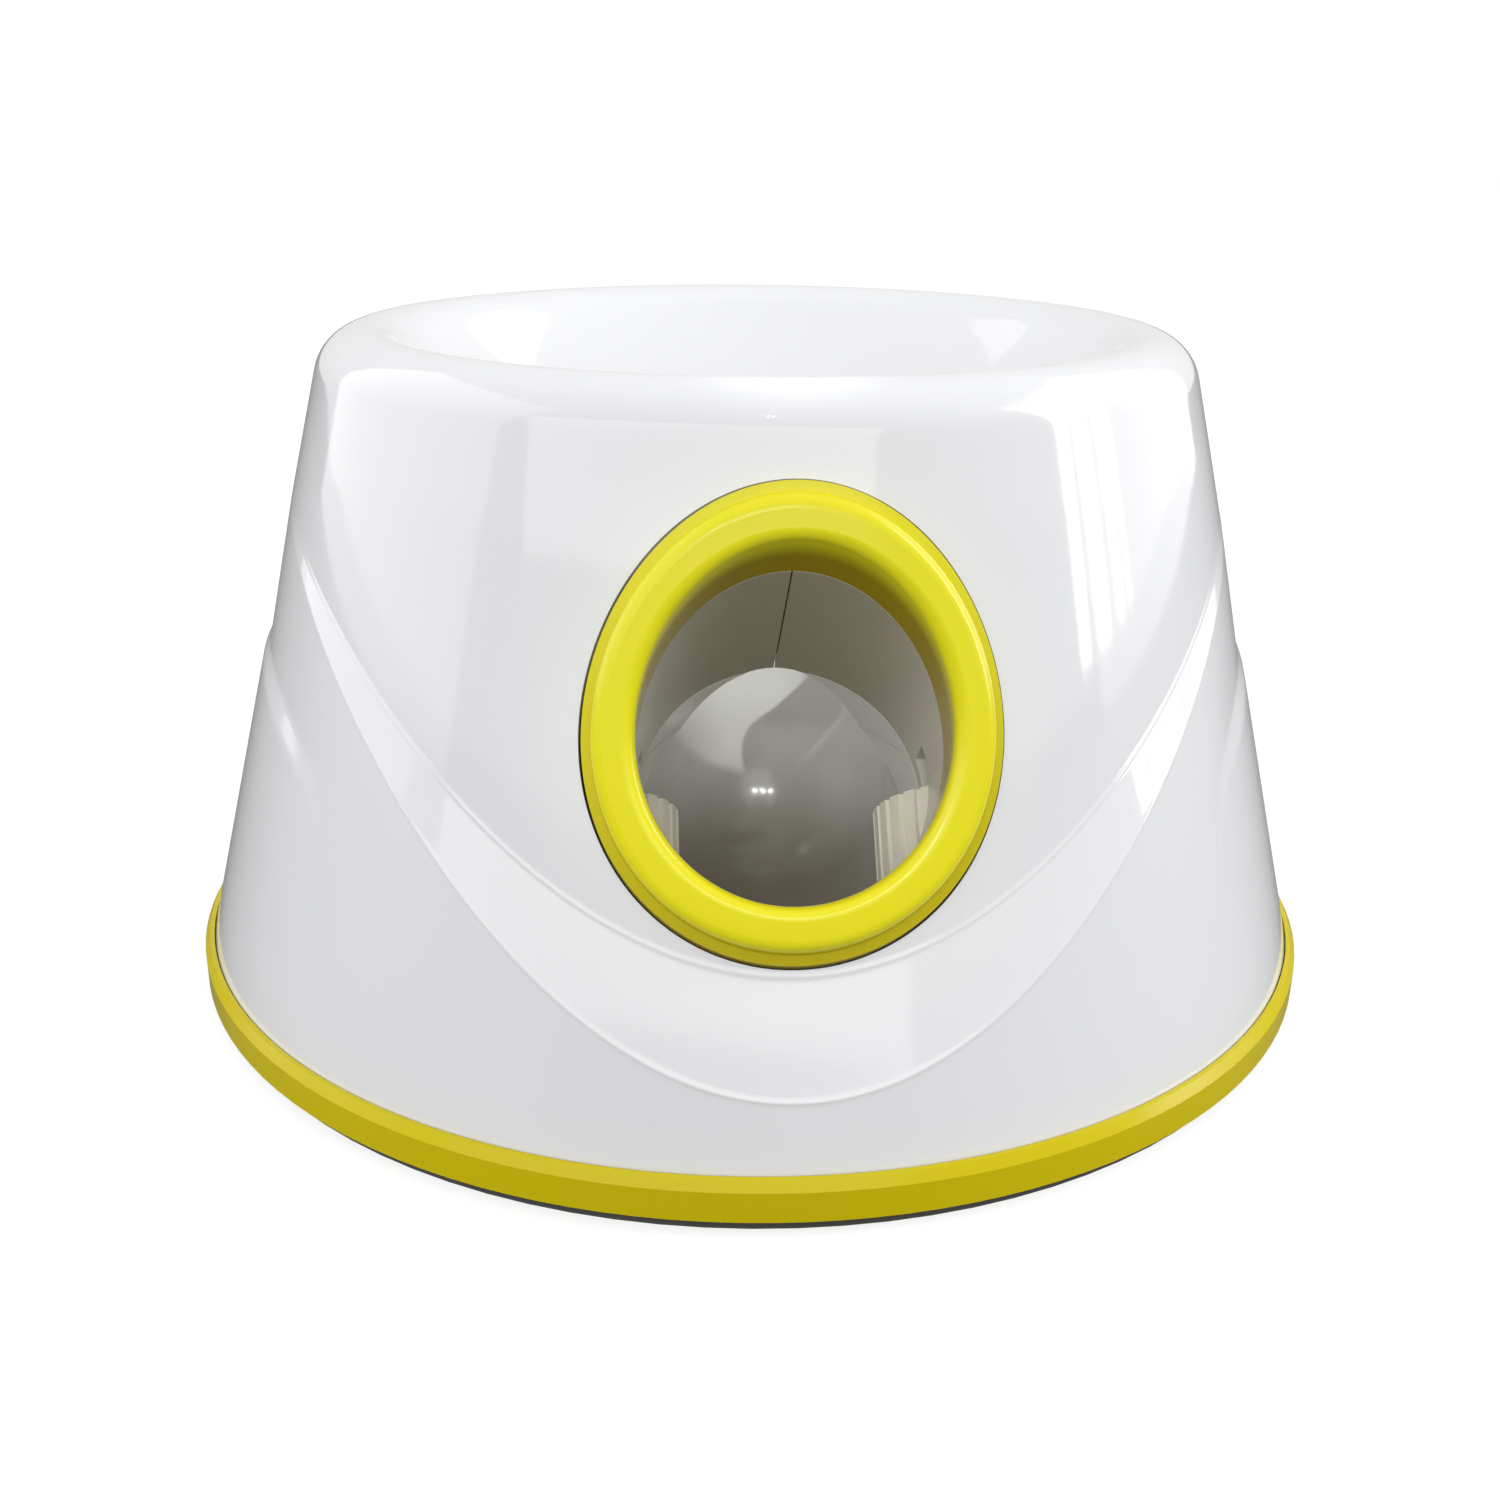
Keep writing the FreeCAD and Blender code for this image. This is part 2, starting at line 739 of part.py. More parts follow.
port_bezel = doc.addObject("Part::Fillet", "port_bezel")
port_bezel.Base = bezel_blank
bead_edges = rim_edges(bezel_blank.Shape, BEAD_R, "sizes.bezel_proud")
lip_edges = rim_edges(bezel_blank.Shape, "sizes.bore_radius", "sizes.bezel_proud")
bead_round = num("sizes.bead_round")
lip_round = num("sizes.lip_round")
port_bezel.Edges = [(number, bead_round, bead_round) for number in bead_edges] \
    + [(number, lip_round, lip_round) for number in lip_edges]


# ---------------------------------------------------------------- barrel halves
MOUNT_TOP = "(sizes.wheel_top - sizes.wheel_height - sizes.plate)"
MOUNT_LOW = "(%s - sizes.plate)" % MOUNT_TOP
WHEEL_X = "(sizes.wheel_nip / 2 + sizes.wheel_radius)"
LEG_Y = "(%s + sizes.leg_inward)" % PORT_Y
PLATE_FROM = "(sizes.bore_radius - sizes.plate_tuck)"
PLATE_ACROSS = "(%s + sizes.plate_reach - %s)" % (WHEEL_X, PLATE_FROM)
WEB_FROM = "(sizes.bore_radius - sizes.web_tuck)"
WEB_ACROSS = "(%s + sizes.web_reach - %s)" % (WHEEL_X, WEB_FROM)
PLATE_START = "sizes.barrel_end - sizes.plate_along - %s" % FIT
LOW_THREAD = "(%s + sizes.low_head_depth + sizes.low_screw_length + %s - %s)" % (PAN_Z, FIT, FLOOR_Z)
MOTOR_ROOM = "(1.3 * sizes.motor_length)"
BLOCK = "(2 * sizes.shell_radius)"


def wheel_side(side, inward, above, shift="0"):
    """A point at a flywheel's distance from the barrel's axis."""
    return tilted("%d * %s + %s" % (side, WHEEL_X, shift), inward, above)


def to_side(side, start, length):
    """Where a box starts so that it lies between two distances on one side."""
    return start if side > 0 else "-(%s) - (%s)" % (start, length)


tube_bar = along_barrel("tube_bar", TUBE_OUTER, "sizes.barrel_end", PORT_FAR)
barrel_bore = along_barrel("barrel_bore", "sizes.bore_radius", BORE_DEEP, PORT_FAR)
drop_clear = cylinder("drop_clear", "sizes.bore_radius + " + FIT,
                      "sizes.hopper_height - sizes.elbow_height",
                      ("0", HOLE_Y, "sizes.elbow_height"))
barrel_front = face_cone("barrel_front", "-sizes.sleeve_depth - " + FIT)
barrel_round = common("barrel_round", tube_bar, barrel_front)
wheel_slots = {side: cylinder("wheel_slot_%d" % side, "sizes.wheel_radius + sizes.wheel_clearance",
                              "sizes.wheel_height + 2 * sizes.wheel_clearance",
                              wheel_side(side, "sizes.wheel_depth",
                                         "sizes.wheel_top - sizes.wheel_height - sizes.wheel_clearance"),
                              *WHEEL_AXIS) for side in (-1, 1)}


def barrel_half(side, word):
    """One half of the barrel with its motor plate, its web and its leg."""
    plate = box("plate_" + word, PLATE_ACROSS, "sizes.plate_along", "sizes.plate",
                tilted(to_side(side, PLATE_FROM, PLATE_ACROSS),
                       PLATE_START, MOUNT_LOW), *WHEEL_AXIS)
    pad_round = cylinder("motor_pad_" + word, "sizes.motor_radius + sizes.motor_pad", "sizes.plate",
                         wheel_side(side, "sizes.wheel_depth", MOUNT_LOW), *WHEEL_AXIS)
    web = box("web_" + word, WEB_ACROSS, "sizes.plate", "sizes.web_depth",
              tilted(to_side(side, WEB_FROM, WEB_ACROSS),
                     PLATE_START, MOUNT_TOP + " - sizes.web_depth"), *WHEEL_AXIS)
    leg = box("leg_" + word, "sizes.leg_across", "sizes.leg_along", "sizes.leg_height",
              ("%d * sizes.leg_offset - sizes.leg_across / 2" % side,
               LEG_Y + " - sizes.leg_along / 2", FLOOR_Z))
    half = box("half_" + word, BLOCK, "2 * " + BLOCK, BLOCK,
               (to_side(side, FIT + " / 2", BLOCK), "-" + BLOCK, FLOOR_Z))
    solid = common("barrel_blank_" + word,
                   fuse("barrel_set_" + word, barrel_round, plate, pad_round, web, leg), half)
    pilot = cylinder("pilot_" + word, "sizes.motor_nose + sizes.shank_gap", "3 * sizes.plate",
                     wheel_side(side, "sizes.wheel_depth", MOUNT_LOW + " - sizes.plate"),
                     *WHEEL_AXIS)
    screw_holes = [cylinder("mount_hole_%s_%d" % (word, step),
                            "sizes.small_screw + sizes.shank_gap / 2", "3 * sizes.plate",
                            wheel_side(side, "sizes.wheel_depth", MOUNT_LOW + " - sizes.plate",
                                       "%d * sizes.motor_screw_across" % step), *WHEEL_AXIS)
                   for step in (-1, 1)]
    leg_hole = cylinder("leg_hole_" + word, "sizes.screw_radius + " + THREAD, LOW_THREAD,
                        ("%d * sizes.leg_offset" % side, LEG_Y, FLOOR_Z))
    motor_room = cylinder("motor_room_" + word, "sizes.motor_radius + 2 * sizes.shank_gap",
                          MOTOR_ROOM, wheel_side(side, "sizes.wheel_depth",
                                                 "%s - %s" % (MOUNT_LOW, MOTOR_ROOM)), *WHEEL_AXIS)
    notch = box("notch_" + word, "sizes.notch_across", "sizes.notch_along", "sizes.notch_rise",
                tilted(to_side(side, TUBE_OUTER + " - sizes.notch_across / 2", "sizes.notch_across"),
                       "sizes.wheel_depth - sizes.wheel_radius + sizes.notch_inset",
                       "sizes.wheel_top"), *WHEEL_AXIS)
    return cut("barrel_" + word, solid,
               fuse("barrel_tools_" + word, barrel_bore, drop_clear, pilot, leg_hole, motor_room,
                    notch, wheel_slots[side], *screw_holes))


barrel_left = barrel_half(-1, "left")
barrel_right = barrel_half(1, "right")


# ---------------------------------------------------------------- elbow under the hopper's hole
def elbow_path(name, radius):
    """The ball's path as solids: drop, turn, short run and turn into the barrel."""
    drop = cylinder(name + "_drop", radius, "sizes.hopper_height - sizes.elbow_height",
                    ("0", HOLE_Y, "sizes.elbow_height"))
    back = ball(name + "_back", radius, ("0", HOLE_Y, "sizes.elbow_height"))
    run = cylinder(name + "_run", radius, "%s - %s" % (HOLE_Y, ELBOW_Y),
                   ("0", HOLE_Y, "sizes.elbow_height"), (1, 0, 0), "90")
    front = ball(name + "_front", radius, ("0", ELBOW_Y, "sizes.elbow_height"))
    return [drop, back, run, front]


elbow_neck = along_barrel("elbow_neck", TUBE_OUTER, ELBOW_INWARD, "sizes.barrel_end + " + FIT)
barrel_clear = along_barrel("barrel_clear", TUBE_OUTER + " + " + FIT,
                            "sizes.barrel_end + " + FIT, "0")
CUP_SCREWS = [("%d * sizes.cup_screw_across" % x, "%s + %d * sizes.cup_screw_along" % (HOLE_Y, y))
              for x in (-1, 1) for y in (-1, 1)]
SENSOR_Z = "(sizes.elbow_height + sizes.sensor_rise)"
saddles = [box("saddle_%d" % side, "sizes.saddle_across", "sizes.saddle", "sizes.saddle_height",
               ("-sizes.saddle_across / 2",
                "%s + %d * sizes.saddle_offset - sizes.saddle / 2" % (HOLE_Y, side), FLOOR_Z))
           for side in (-1, 1)]
cup_plate = box("cup_plate", "sizes.cup_plate_across", "sizes.cup_plate_along", "sizes.cup_plate_rise",
                ("-sizes.cup_plate_across / 2", HOLE_Y + " - sizes.cup_plate_along / 2", FLOOR_Z))
cup_bosses = [cylinder("cup_boss_%d" % index, "sizes.screw_boss", "sizes.screw_boss_height",
                       (x, y, FLOOR_Z)) for index, (x, y) in enumerate(CUP_SCREWS)]
cup_holes = [cylinder("cup_hole_%d" % index, "sizes.screw_radius + " + THREAD, LOW_THREAD,
                      (x, y, FLOOR_Z)) for index, (x, y) in enumerate(CUP_SCREWS)]
sensor_hole = cylinder("sensor_hole", "sizes.sensor_lens + sizes.shank_gap", BLOCK,
                       ("-%s / 2" % BLOCK, HOLE_Y, SENSOR_Z), *ALONG_X)
cup_room = box("cup_room", BLOCK, BLOCK, "%s - %s" % (SPLIT_Z, FLOOR_Z),
               ("-%s / 2" % BLOCK, "-%s / 2" % BLOCK, FLOOR_Z))
cup_blank = common("cup_blank", cup_room,
                   chain("cup_solid", elbow_path("cup_outer", TUBE_OUTER) + [elbow_neck] + saddles
                         + [cup_plate] + cup_bosses))
neck_bore = along_barrel("neck_bore", "sizes.bore_radius", ELBOW_INWARD, "0")
cup_path = chain("cup_path", elbow_path("cup_inner", "sizes.bore_radius") + [neck_bore])
leg_clears = [box("leg_clear_%d" % side, "sizes.leg_across + 2 * " + FIT,
                  "sizes.leg_along + 2 * " + FIT, "sizes.leg_height",
                  ("%d * sizes.leg_offset - sizes.leg_across / 2 - %s" % (side, FIT),
                   "%s - sizes.leg_along / 2 - %s" % (LEG_Y, FIT), FLOOR_Z)) for side in (-1, 1)]
cup_tools = fuse("cup_tools", barrel_clear, sensor_hole,
                 *(list(wheel_slots.values()) + leg_clears + cup_holes))
elbow_cup = cut("elbow_cup", cut("cup_hollow", cup_blank, cup_path), cup_tools)

# ---------------------------------------------------------------- drop tube with the gate's slot
GATE_Z = "(sizes.hopper_height - sizes.gate_drop)"
GATE_Y = "(%s + sizes.gate_along)" % HOLE_Y
GATE_HEADING = "(180 + atan(sizes.gate_along / sizes.gate_x) / 1deg)"
GATE_LENGTH = "(sqrt(sizes.gate_x ^ 2 + sizes.gate_along ^ 2) - sizes.gate_short)"
GATE_TURN = ((0, 0, 1), GATE_HEADING)
SHELF_START = "(sizes.bore_radius - sizes.saddle)"
drop_bar = cylinder("drop_bar", TUBE_OUTER, "sizes.hopper_height - " + SPLIT_Z, ("0", HOLE_Y, SPLIT_Z))
drop_collar = cut("drop_collar",
                  cylinder("collar_bar", TUBE_OUTER + " + sizes.collar_wall", "sizes.collar_height",
                           ("0", HOLE_Y, SPLIT_Z + " - sizes.collar_drop")),
                  cylinder("collar_bore", "%s + %s" % (TUBE_OUTER, FIT), "2 * sizes.collar_drop",
                           ("0", HOLE_Y, SPLIT_Z + " - 2 * sizes.collar_drop")))
# the neck's part above the split is moulded with the drop tube
drop_neck = cut("drop_neck", elbow_neck, box("drop_neck_room", BLOCK, BLOCK, SPLIT_Z,
                                             ("-%s / 2" % BLOCK, "-%s / 2" % BLOCK, "0")))
drop_bore = cylinder("drop_bore", "sizes.bore_radius", "sizes.hopper_height",
                     ("0", HOLE_Y, "sizes.elbow_height"))
gate_shelf = box("gate_shelf", "sizes.gate_x + sizes.gate_shelf_half - " + SHELF_START,
                 "2 * sizes.gate_shelf_half", "sizes.gate_shelf",
                 (SHELF_START, GATE_Y + " - sizes.gate_shelf_half", GATE_Z + " - sizes.gate_shelf_drop"))
gate_slot = cylinder("gate_slot", "%s + sizes.gate_width / 2 + sizes.gate_slot_reach" % GATE_LENGTH,
                     "sizes.gate_thickness + 2 * sizes.gate_slot_gap",
                     ("sizes.gate_x", GATE_Y, GATE_Z + " - sizes.gate_slot_gap"), (0, 0, 1),
                     "%s - sizes.gate_swing - sizes.gate_slot_margin" % GATE_HEADING)
gate_slot.setExpression("Angle", "sizes.gate_swing + 2 * sizes.gate_slot_margin")
gate_shaft_hole = cylinder("gate_shaft_hole", "sizes.gate_shaft + sizes.gate_shaft_room",
                           "sizes.gate_shaft_length",
                           ("sizes.gate_x", GATE_Y, GATE_Z + " - sizes.gate_shaft_length"))
collar_gap = box("collar_gap", "2 * sizes.shoulder_height", "sizes.collar_gap_along",
                 "sizes.collar_drop + 1 + " + FIT,
                 ("-sizes.shoulder_height",
                  HOLE_Y + " - sizes.collar_gap_start - sizes.collar_gap_along",
                  SPLIT_Z + " - sizes.collar_drop - 1"))
drop_tube = cut("drop_tube", fuse("drop_blank", drop_bar, drop_neck, drop_collar, gate_shelf),
                fuse("drop_tools", drop_bore, barrel_clear, neck_bore, gate_slot, gate_shaft_hole,
                     collar_gap, *wheel_slots.values()))

# ---------------------------------------------------------------- feed gate and its gear motor
SHAFT_LOW = "(%s - sizes.gate_shaft_drop)" % GATE_Z
SHELF_LOW = "(%s - sizes.gate_shelf_drop)" % GATE_Z
GEAR_LOW = "(%s - sizes.gearbox_height)" % SHELF_LOW
gate_arm = box("gate_arm", GATE_LENGTH, "sizes.gate_width", "sizes.gate_thickness",
               ("sizes.gate_x + sizes.gate_width / 2 * sin(%s)" % GATE_HEADING,
                GATE_Y + " - sizes.gate_width / 2 * cos(%s)" % GATE_HEADING, GATE_Z), *GATE_TURN)
gate_tip = cylinder("gate_tip", "sizes.gate_width / 2", "sizes.gate_thickness",
                    ("sizes.gate_x + %s * cos(%s)" % (GATE_LENGTH, GATE_HEADING),
                     GATE_Y + " + %s * sin(%s)" % (GATE_LENGTH, GATE_HEADING), GATE_Z))
gate_hub = cylinder("gate_hub", "sizes.gate_hub", "sizes.gate_hub_height",
                    ("sizes.gate_x", GATE_Y, GATE_Z + " - sizes.gate_hub_drop"))
gate_bore = cylinder("gate_bore", "sizes.gate_shaft + " + THREAD, "2 * sizes.gate_shaft_length",
                     ("sizes.gate_x", GATE_Y, SHAFT_LOW))
feed_gate = cut("feed_gate", fuse("gate_blank", gate_arm, gate_tip, gate_hub), gate_bore)
gate_shaft = cylinder("gate_shaft", "sizes.gate_shaft", "sizes.gate_shaft_length",
                      ("sizes.gate_x", GATE_Y, SHAFT_LOW))
gate_gearbox = box("gate_gearbox", "sizes.gearbox_across", "sizes.gearbox_along", "sizes.gearbox_height",
                   ("sizes.gate_x - sizes.gearbox_across / 2", GATE_Y + " - sizes.gearbox_along / 2",
                    GEAR_LOW))
gate_motor_can = cylinder("gate_motor_can", "sizes.gear_can", "sizes.gear_can_length",
                          ("sizes.gate_x", GATE_Y + " - sizes.gear_can_offset",
                           GEAR_LOW + " - sizes.gear_can_length"))
gate_motor_bore = cylinder("gate_motor_bore", "sizes.gate_shaft + sizes.shaft_clearance",
                           "%s - %s + %s" % (SHELF_LOW, SHAFT_LOW, FIT),
                           ("sizes.gate_x", GATE_Y, "%s - %s" % (SHAFT_LOW, FIT)))
gate_motor = cut("gate_motor", fuse("gate_motor_blank", gate_gearbox, gate_motor_can), gate_motor_bore)

# ---------------------------------------------------------------- flywheels, hubs, shafts, motors
WHEEL_LOW = "(sizes.wheel_top - sizes.wheel_height)"
SHAFT_R = "sizes.motor_shaft_radius"
MOTOR_LOW = "(%s - sizes.motor_length)" % MOUNT_LOW


def ribbed_tyre(word):
    """A rubber ring with fine grooves across its tread."""
    tyre = new_body("flywheel_tyre_" + word)
    ring = new_sketch(tyre, "tyre_ring_" + word)
    round_outline(ring, "sizes.wheel_radius")
    round_outline(ring, "sizes.hub_radius + " + THREAD)
    pad(tyre, ring, "sizes.wheel_height", "tyre_pad_" + word)
    notch = new_sketch(tyre, "tyre_notch_" + word)
    outline(notch, [("sizes.wheel_radius - sizes.rib_depth", "-sizes.groove_low_half"),
                    ("sizes.wheel_radius + sizes.rib_depth", "-sizes.groove_high_half"),
                    ("sizes.wheel_radius + sizes.rib_depth", "sizes.groove_high_half"),
                    ("sizes.wheel_radius - sizes.rib_depth", "sizes.groove_low_half")])
    groove = pocket(tyre, notch, "sizes.wheel_height", "tyre_groove_" + word, True)
    pattern = tyre.newObject("PartDesign::PolarPattern", "tyre_ribs_" + word)
    pattern.Originals = [groove]
    pattern.Axis = (notch, ["N_Axis"])
    pattern.Angle = 360
    pattern.setExpression("Occurrences", "sizes.wheel_ribs")
    tyre.Tip = pattern
    return tyre


def wheel_hub(word):
    """A hub with a rim, a thin web and a core that grips the motor's shaft."""
    core_end = "sizes.wheel_height - sizes.hub_end_gap"
    return turned("flywheel_hub_" + word, [
        ("%s + %s" % (SHAFT_R, THREAD), "sizes.hub_end_gap"),
        ("sizes.hub_core", "sizes.hub_end_gap"),
        ("sizes.hub_core", "sizes.hub_web_low"),
        ("sizes.hub_radius - sizes.hub_rim", "sizes.hub_web_low"),
        ("sizes.hub_radius - sizes.hub_rim", "0"),
        ("sizes.hub_radius", "0"),
        ("sizes.hub_radius", "sizes.wheel_height"),
        ("sizes.hub_radius - sizes.hub_rim", "sizes.wheel_height"),
        ("sizes.hub_radius - sizes.hub_rim", "sizes.hub_web_high"),
        ("sizes.hub_core", "sizes.hub_web_high"),
        ("sizes.hub_core", core_end),
        ("%s + %s" % (SHAFT_R, THREAD), core_end)])


def wheel_motor(side, word):
    """A can motor with a nose, a tail, a bore for its shaft and two screw threads."""
    def round_bar(name, radius, length, above, shift="0"):
        return cylinder("%s_%s" % (name, word), radius, length,
                        wheel_side(side, "sizes.wheel_depth", above, shift), *WHEEL_AXIS)
    can = round_bar("motor_can", "sizes.motor_radius", "sizes.motor_length", MOTOR_LOW)
    nose = round_bar("motor_nose", "sizes.motor_nose", "sizes.plate", MOUNT_LOW)
    tail = round_bar("motor_tail", "sizes.motor_tail", "sizes.motor_tail_length",
                     MOTOR_LOW + " - sizes.motor_tail_length")
    bore = round_bar("motor_bore", SHAFT_R + " + sizes.shaft_clearance", "1.5 * sizes.motor_length",
                     MOTOR_LOW + " - 2 * sizes.motor_tail_length")
    threads = [round_bar("motor_thread_%d" % step, "sizes.small_screw + " + THREAD,
                         "sizes.motor_screw_length", MOUNT_LOW + " - sizes.motor_thread",
                         "%d * sizes.motor_screw_across" % step) for step in (-1, 1)]
    return cut("motor_" + word, fuse("motor_blank_" + word, can, nose, tail),
               fuse("motor_bores_" + word, bore, *threads))


rotors = []
for side, word in ((-1, "left"), (1, "right")):
    tyre = ribbed_tyre(word)
    hub = wheel_hub(word)
    for piece in (tyre, hub):
        place(piece, wheel_side(side, "sizes.wheel_depth", WHEEL_LOW), *WHEEL_AXIS)
    shaft = cylinder("motor_shaft_" + word, SHAFT_R, "sizes.motor_length + sizes.motor_shaft_reach",
                     wheel_side(side, "sizes.wheel_depth", MOTOR_LOW + " - 1"), *WHEEL_AXIS)
    rotors += [tyre, hub, shaft, wheel_motor(side, word)]

# ---------------------------------------------------------------- base pan
FOOT_COUNT = 5
FOOT_CIRCLE = "(sizes.shell_radius - sizes.foot_inset)"
SEAT_R = "(sizes.shell_radius + %s)" % FIT
LEDGE_R = "(sizes.shell_radius - sizes.ledge_width)"
CELL_PITCH = "(2 * sizes.cell_radius + sizes.cell_gap)"
BOX_HALF = "(sizes.cell_length + sizes.cell_middle + sizes.spring_room + sizes.box_wall)"
BOX_DEPTH = "(sizes.cell_rows * %s + 2 * sizes.box_wall)" % CELL_PITCH
BOX_MIDDLE = "(sizes.box_front + %s / 2)" % BOX_DEPTH
OPEN_HALF = "(%s - sizes.box_rim)" % BOX_HALF
OPEN_Y = "(sizes.box_front + sizes.box_rim)"
OPEN_DEPTH = "(%s - 2 * sizes.box_rim)" % BOX_DEPTH
CELL_Z = "(%s + sizes.cell_under + sizes.cell_radius)" % FLOOR_Z
BOX_TOP = "(%s + sizes.cell_radius + sizes.cell_over + sizes.box_wall)" % CELL_Z
EAR_X = "(%s + sizes.ear_offset)" % BOX_HALF
pan_ring = turned("pan_ring", [
    ("0", PAN_Z), (BASE_R, PAN_Z), (BASE_R, PAN_Z + " + sizes.ring_face"),
    ("sizes.shell_radius + sizes.ring_lip", RING_Z), (SEAT_R, RING_Z), (SEAT_R, LEDGE_Z),
    (LEDGE_R, LEDGE_Z), (LEDGE_R, FLOOR_Z), ("0", FLOOR_Z)])
pan_bosses = [cylinder("pan_boss_%d" % index, "sizes.post_radius + sizes.boss_wall",
                       "sizes.ledge_rise", (x, y, FLOOR_Z)) for index, (x, y) in enumerate(CORNERS)]
battery_opening = box("battery_opening", "2 * " + OPEN_HALF, OPEN_DEPTH, "2 * " + FLOOR_Z,
                      ("-" + OPEN_HALF, OPEN_Y, "-" + PAN_Z))
low_screws = [("%d * sizes.leg_offset" % side, LEG_Y) for side in (-1, 1)] + CUP_SCREWS \
    + [("%d * %s" % (side, EAR_X), BOX_MIDDLE) for side in (-1, 1)]
pan_holes = []
for index, (x, y) in enumerate(CORNERS):
    pan_holes.append(cylinder("pan_bore_%d" % index, "sizes.screw_head + 2 * sizes.shank_gap",
                              "sizes.head_depth", (x, y, PAN_Z)))
    pan_holes.append(cylinder("pan_hole_%d" % index, "sizes.screw_radius + sizes.shank_gap",
                              "2 * " + LEDGE_Z, (x, y, PAN_Z)))
for index, (x, y) in enumerate(low_screws):
    pan_holes.append(cylinder("low_bore_%d" % index, "sizes.screw_head", "sizes.low_head_depth",
                              (x, y, PAN_Z)))
    pan_holes.append(cylinder("low_hole_%d" % index, "sizes.screw_radius + sizes.shank_gap / 2",
                              "2 * " + FLOOR_Z, (x, y, PAN_Z)))
base_pan = cut("base_pan", fuse("pan_blank", pan_ring, *pan_bosses),
               fuse("pan_tools", battery_opening, *pan_holes))

# ---------------------------------------------------------------- battery compartment
COVER_LOW = "(%s + sizes.shank_gap)" % PAN_Z
COVER_SCREW_Y = "(%s + %s - sizes.box_rim)" % (OPEN_Y, OPEN_DEPTH)
BOARD_Z = "(%s + sizes.board_stand)" % BOX_TOP
BOARD_TOP = "(%s + sizes.board_thickness)" % BOARD_Z
BOARD_SPOTS = [("%d * (sizes.board_across / 2 - sizes.board_edge)" % x,
                "%s + %d * (sizes.board_along / 2 - sizes.board_edge)" % (BOX_MIDDLE, y))
               for x in (-1, 1) for y in (-1, 1)]
INNER_HALF = "(%s - sizes.box_wall)" % BOX_HALF
battery_hollow = cut(
    "battery_hollow",
    box("battery_outer", "2 * " + BOX_HALF, BOX_DEPTH, "%s - %s" % (BOX_TOP, FLOOR_Z),
        ("-" + BOX_HALF, "sizes.box_front", FLOOR_Z)),
    box("battery_inner", "2 * " + INNER_HALF, BOX_DEPTH + " - 2 * sizes.box_wall",
        "%s - %s - sizes.box_wall" % (BOX_TOP, FLOOR_Z),
        ("-" + INNER_HALF, "sizes.box_front + sizes.box_wall", FLOOR_Z)))
ears = [box("battery_ear_%d" % side, "sizes.ear_across", "sizes.ear_along", "sizes.ear_rise",
            ("%d * (%s - sizes.ear_across / 2) - sizes.ear_across / 2" % (side, EAR_X),
             BOX_MIDDLE + " - sizes.ear_along / 2", FLOOR_Z)) for side in (-1, 1)]
ear_bosses = [cylinder("ear_boss_%d" % side, "sizes.screw_boss", "sizes.screw_boss_height",
                       ("%d * %s" % (side, EAR_X), BOX_MIDDLE, FLOOR_Z)) for side in (-1, 1)]
board_posts = [cylinder("board_post_%d" % index, "sizes.board_post", "sizes.board_stand + 1",
                        (x, y, BOX_TOP + " - 1")) for index, (x, y) in enumerate(BOARD_SPOTS)]
cover_boss = cylinder("cover_boss", "sizes.board_post", "%s - %s - 1" % (BOX_TOP, FLOOR_Z),
                      ("0", COVER_SCREW_Y, FLOOR_Z))
board_threads = [cylinder("board_thread_%d" % index, "sizes.small_screw + " + THREAD,
                          "sizes.board_screw_length",
                          (x, y, BOARD_Z + " - sizes.board_screw_length"))
                 for index, (x, y) in enumerate(BOARD_SPOTS)]
cover_thread = cylinder("cover_thread", "sizes.small_screw + " + THREAD,
                        "sizes.cover_screw_length + 1", ("0", COVER_SCREW_Y, FLOOR_Z))
ear_threads = [cylinder("ear_thread_%d" % side, "sizes.screw_radius + " + THREAD, LOW_THREAD,
                        ("%d * %s" % (side, EAR_X), BOX_MIDDLE, FLOOR_Z)) for side in (-1, 1)]
battery_box = cut("battery_box",
                  fuse("battery_set", battery_hollow, cover_boss, *(ears + ear_bosses + board_posts)),
                  fuse("battery_tools", cover_thread, *(board_threads + ear_threads)))
cover_plate = box("cover_plate", "2 * (%s - %s)" % (OPEN_HALF, FIT),
                  "%s - 2 * %s" % (OPEN_DEPTH, FIT), "sizes.cover_thickness",
                  ("-(%s - %s)" % (OPEN_HALF, FIT), "%s + %s" % (OPEN_Y, FIT), COVER_LOW))
cover_tabs = []
for side in (-1, 1):
    tab_x = "%d * sizes.cover_tab_across - sizes.cover_tab / 2" % side
    cover_tabs.append(box("tab_root_%d" % side, "sizes.cover_tab", "sizes.tab_root_along",
                          "sizes.tab_root_rise",
                          (tab_x, "%s + %s" % (OPEN_Y, FIT), COVER_LOW + " + sizes.tab_root_low")))
    cover_tabs.append(box("tab_lip_%d" % side, "sizes.cover_tab", "sizes.tab_lip_along",
                          "sizes.tab_lip", (tab_x, OPEN_Y + " - sizes.tab_lip",
                                            FLOOR_Z + " + sizes.tab_gap")))
cover_tools = fuse("cover_tools",
                   cylinder("cover_head_bore", "sizes.small_head + sizes.shank_gap",
                            "sizes.low_head_depth", ("0", COVER_SCREW_Y, COVER_LOW)),
                   cylinder("cover_hole", "sizes.small_screw + sizes.shank_gap",
                            "2 * " + FLOOR_Z, ("0", COVER_SCREW_Y, COVER_LOW)))
battery_cover = cut("battery_cover", fuse("cover_blank", cover_plate, *cover_tabs), cover_tools)
cells = []
springs = []
plates = []
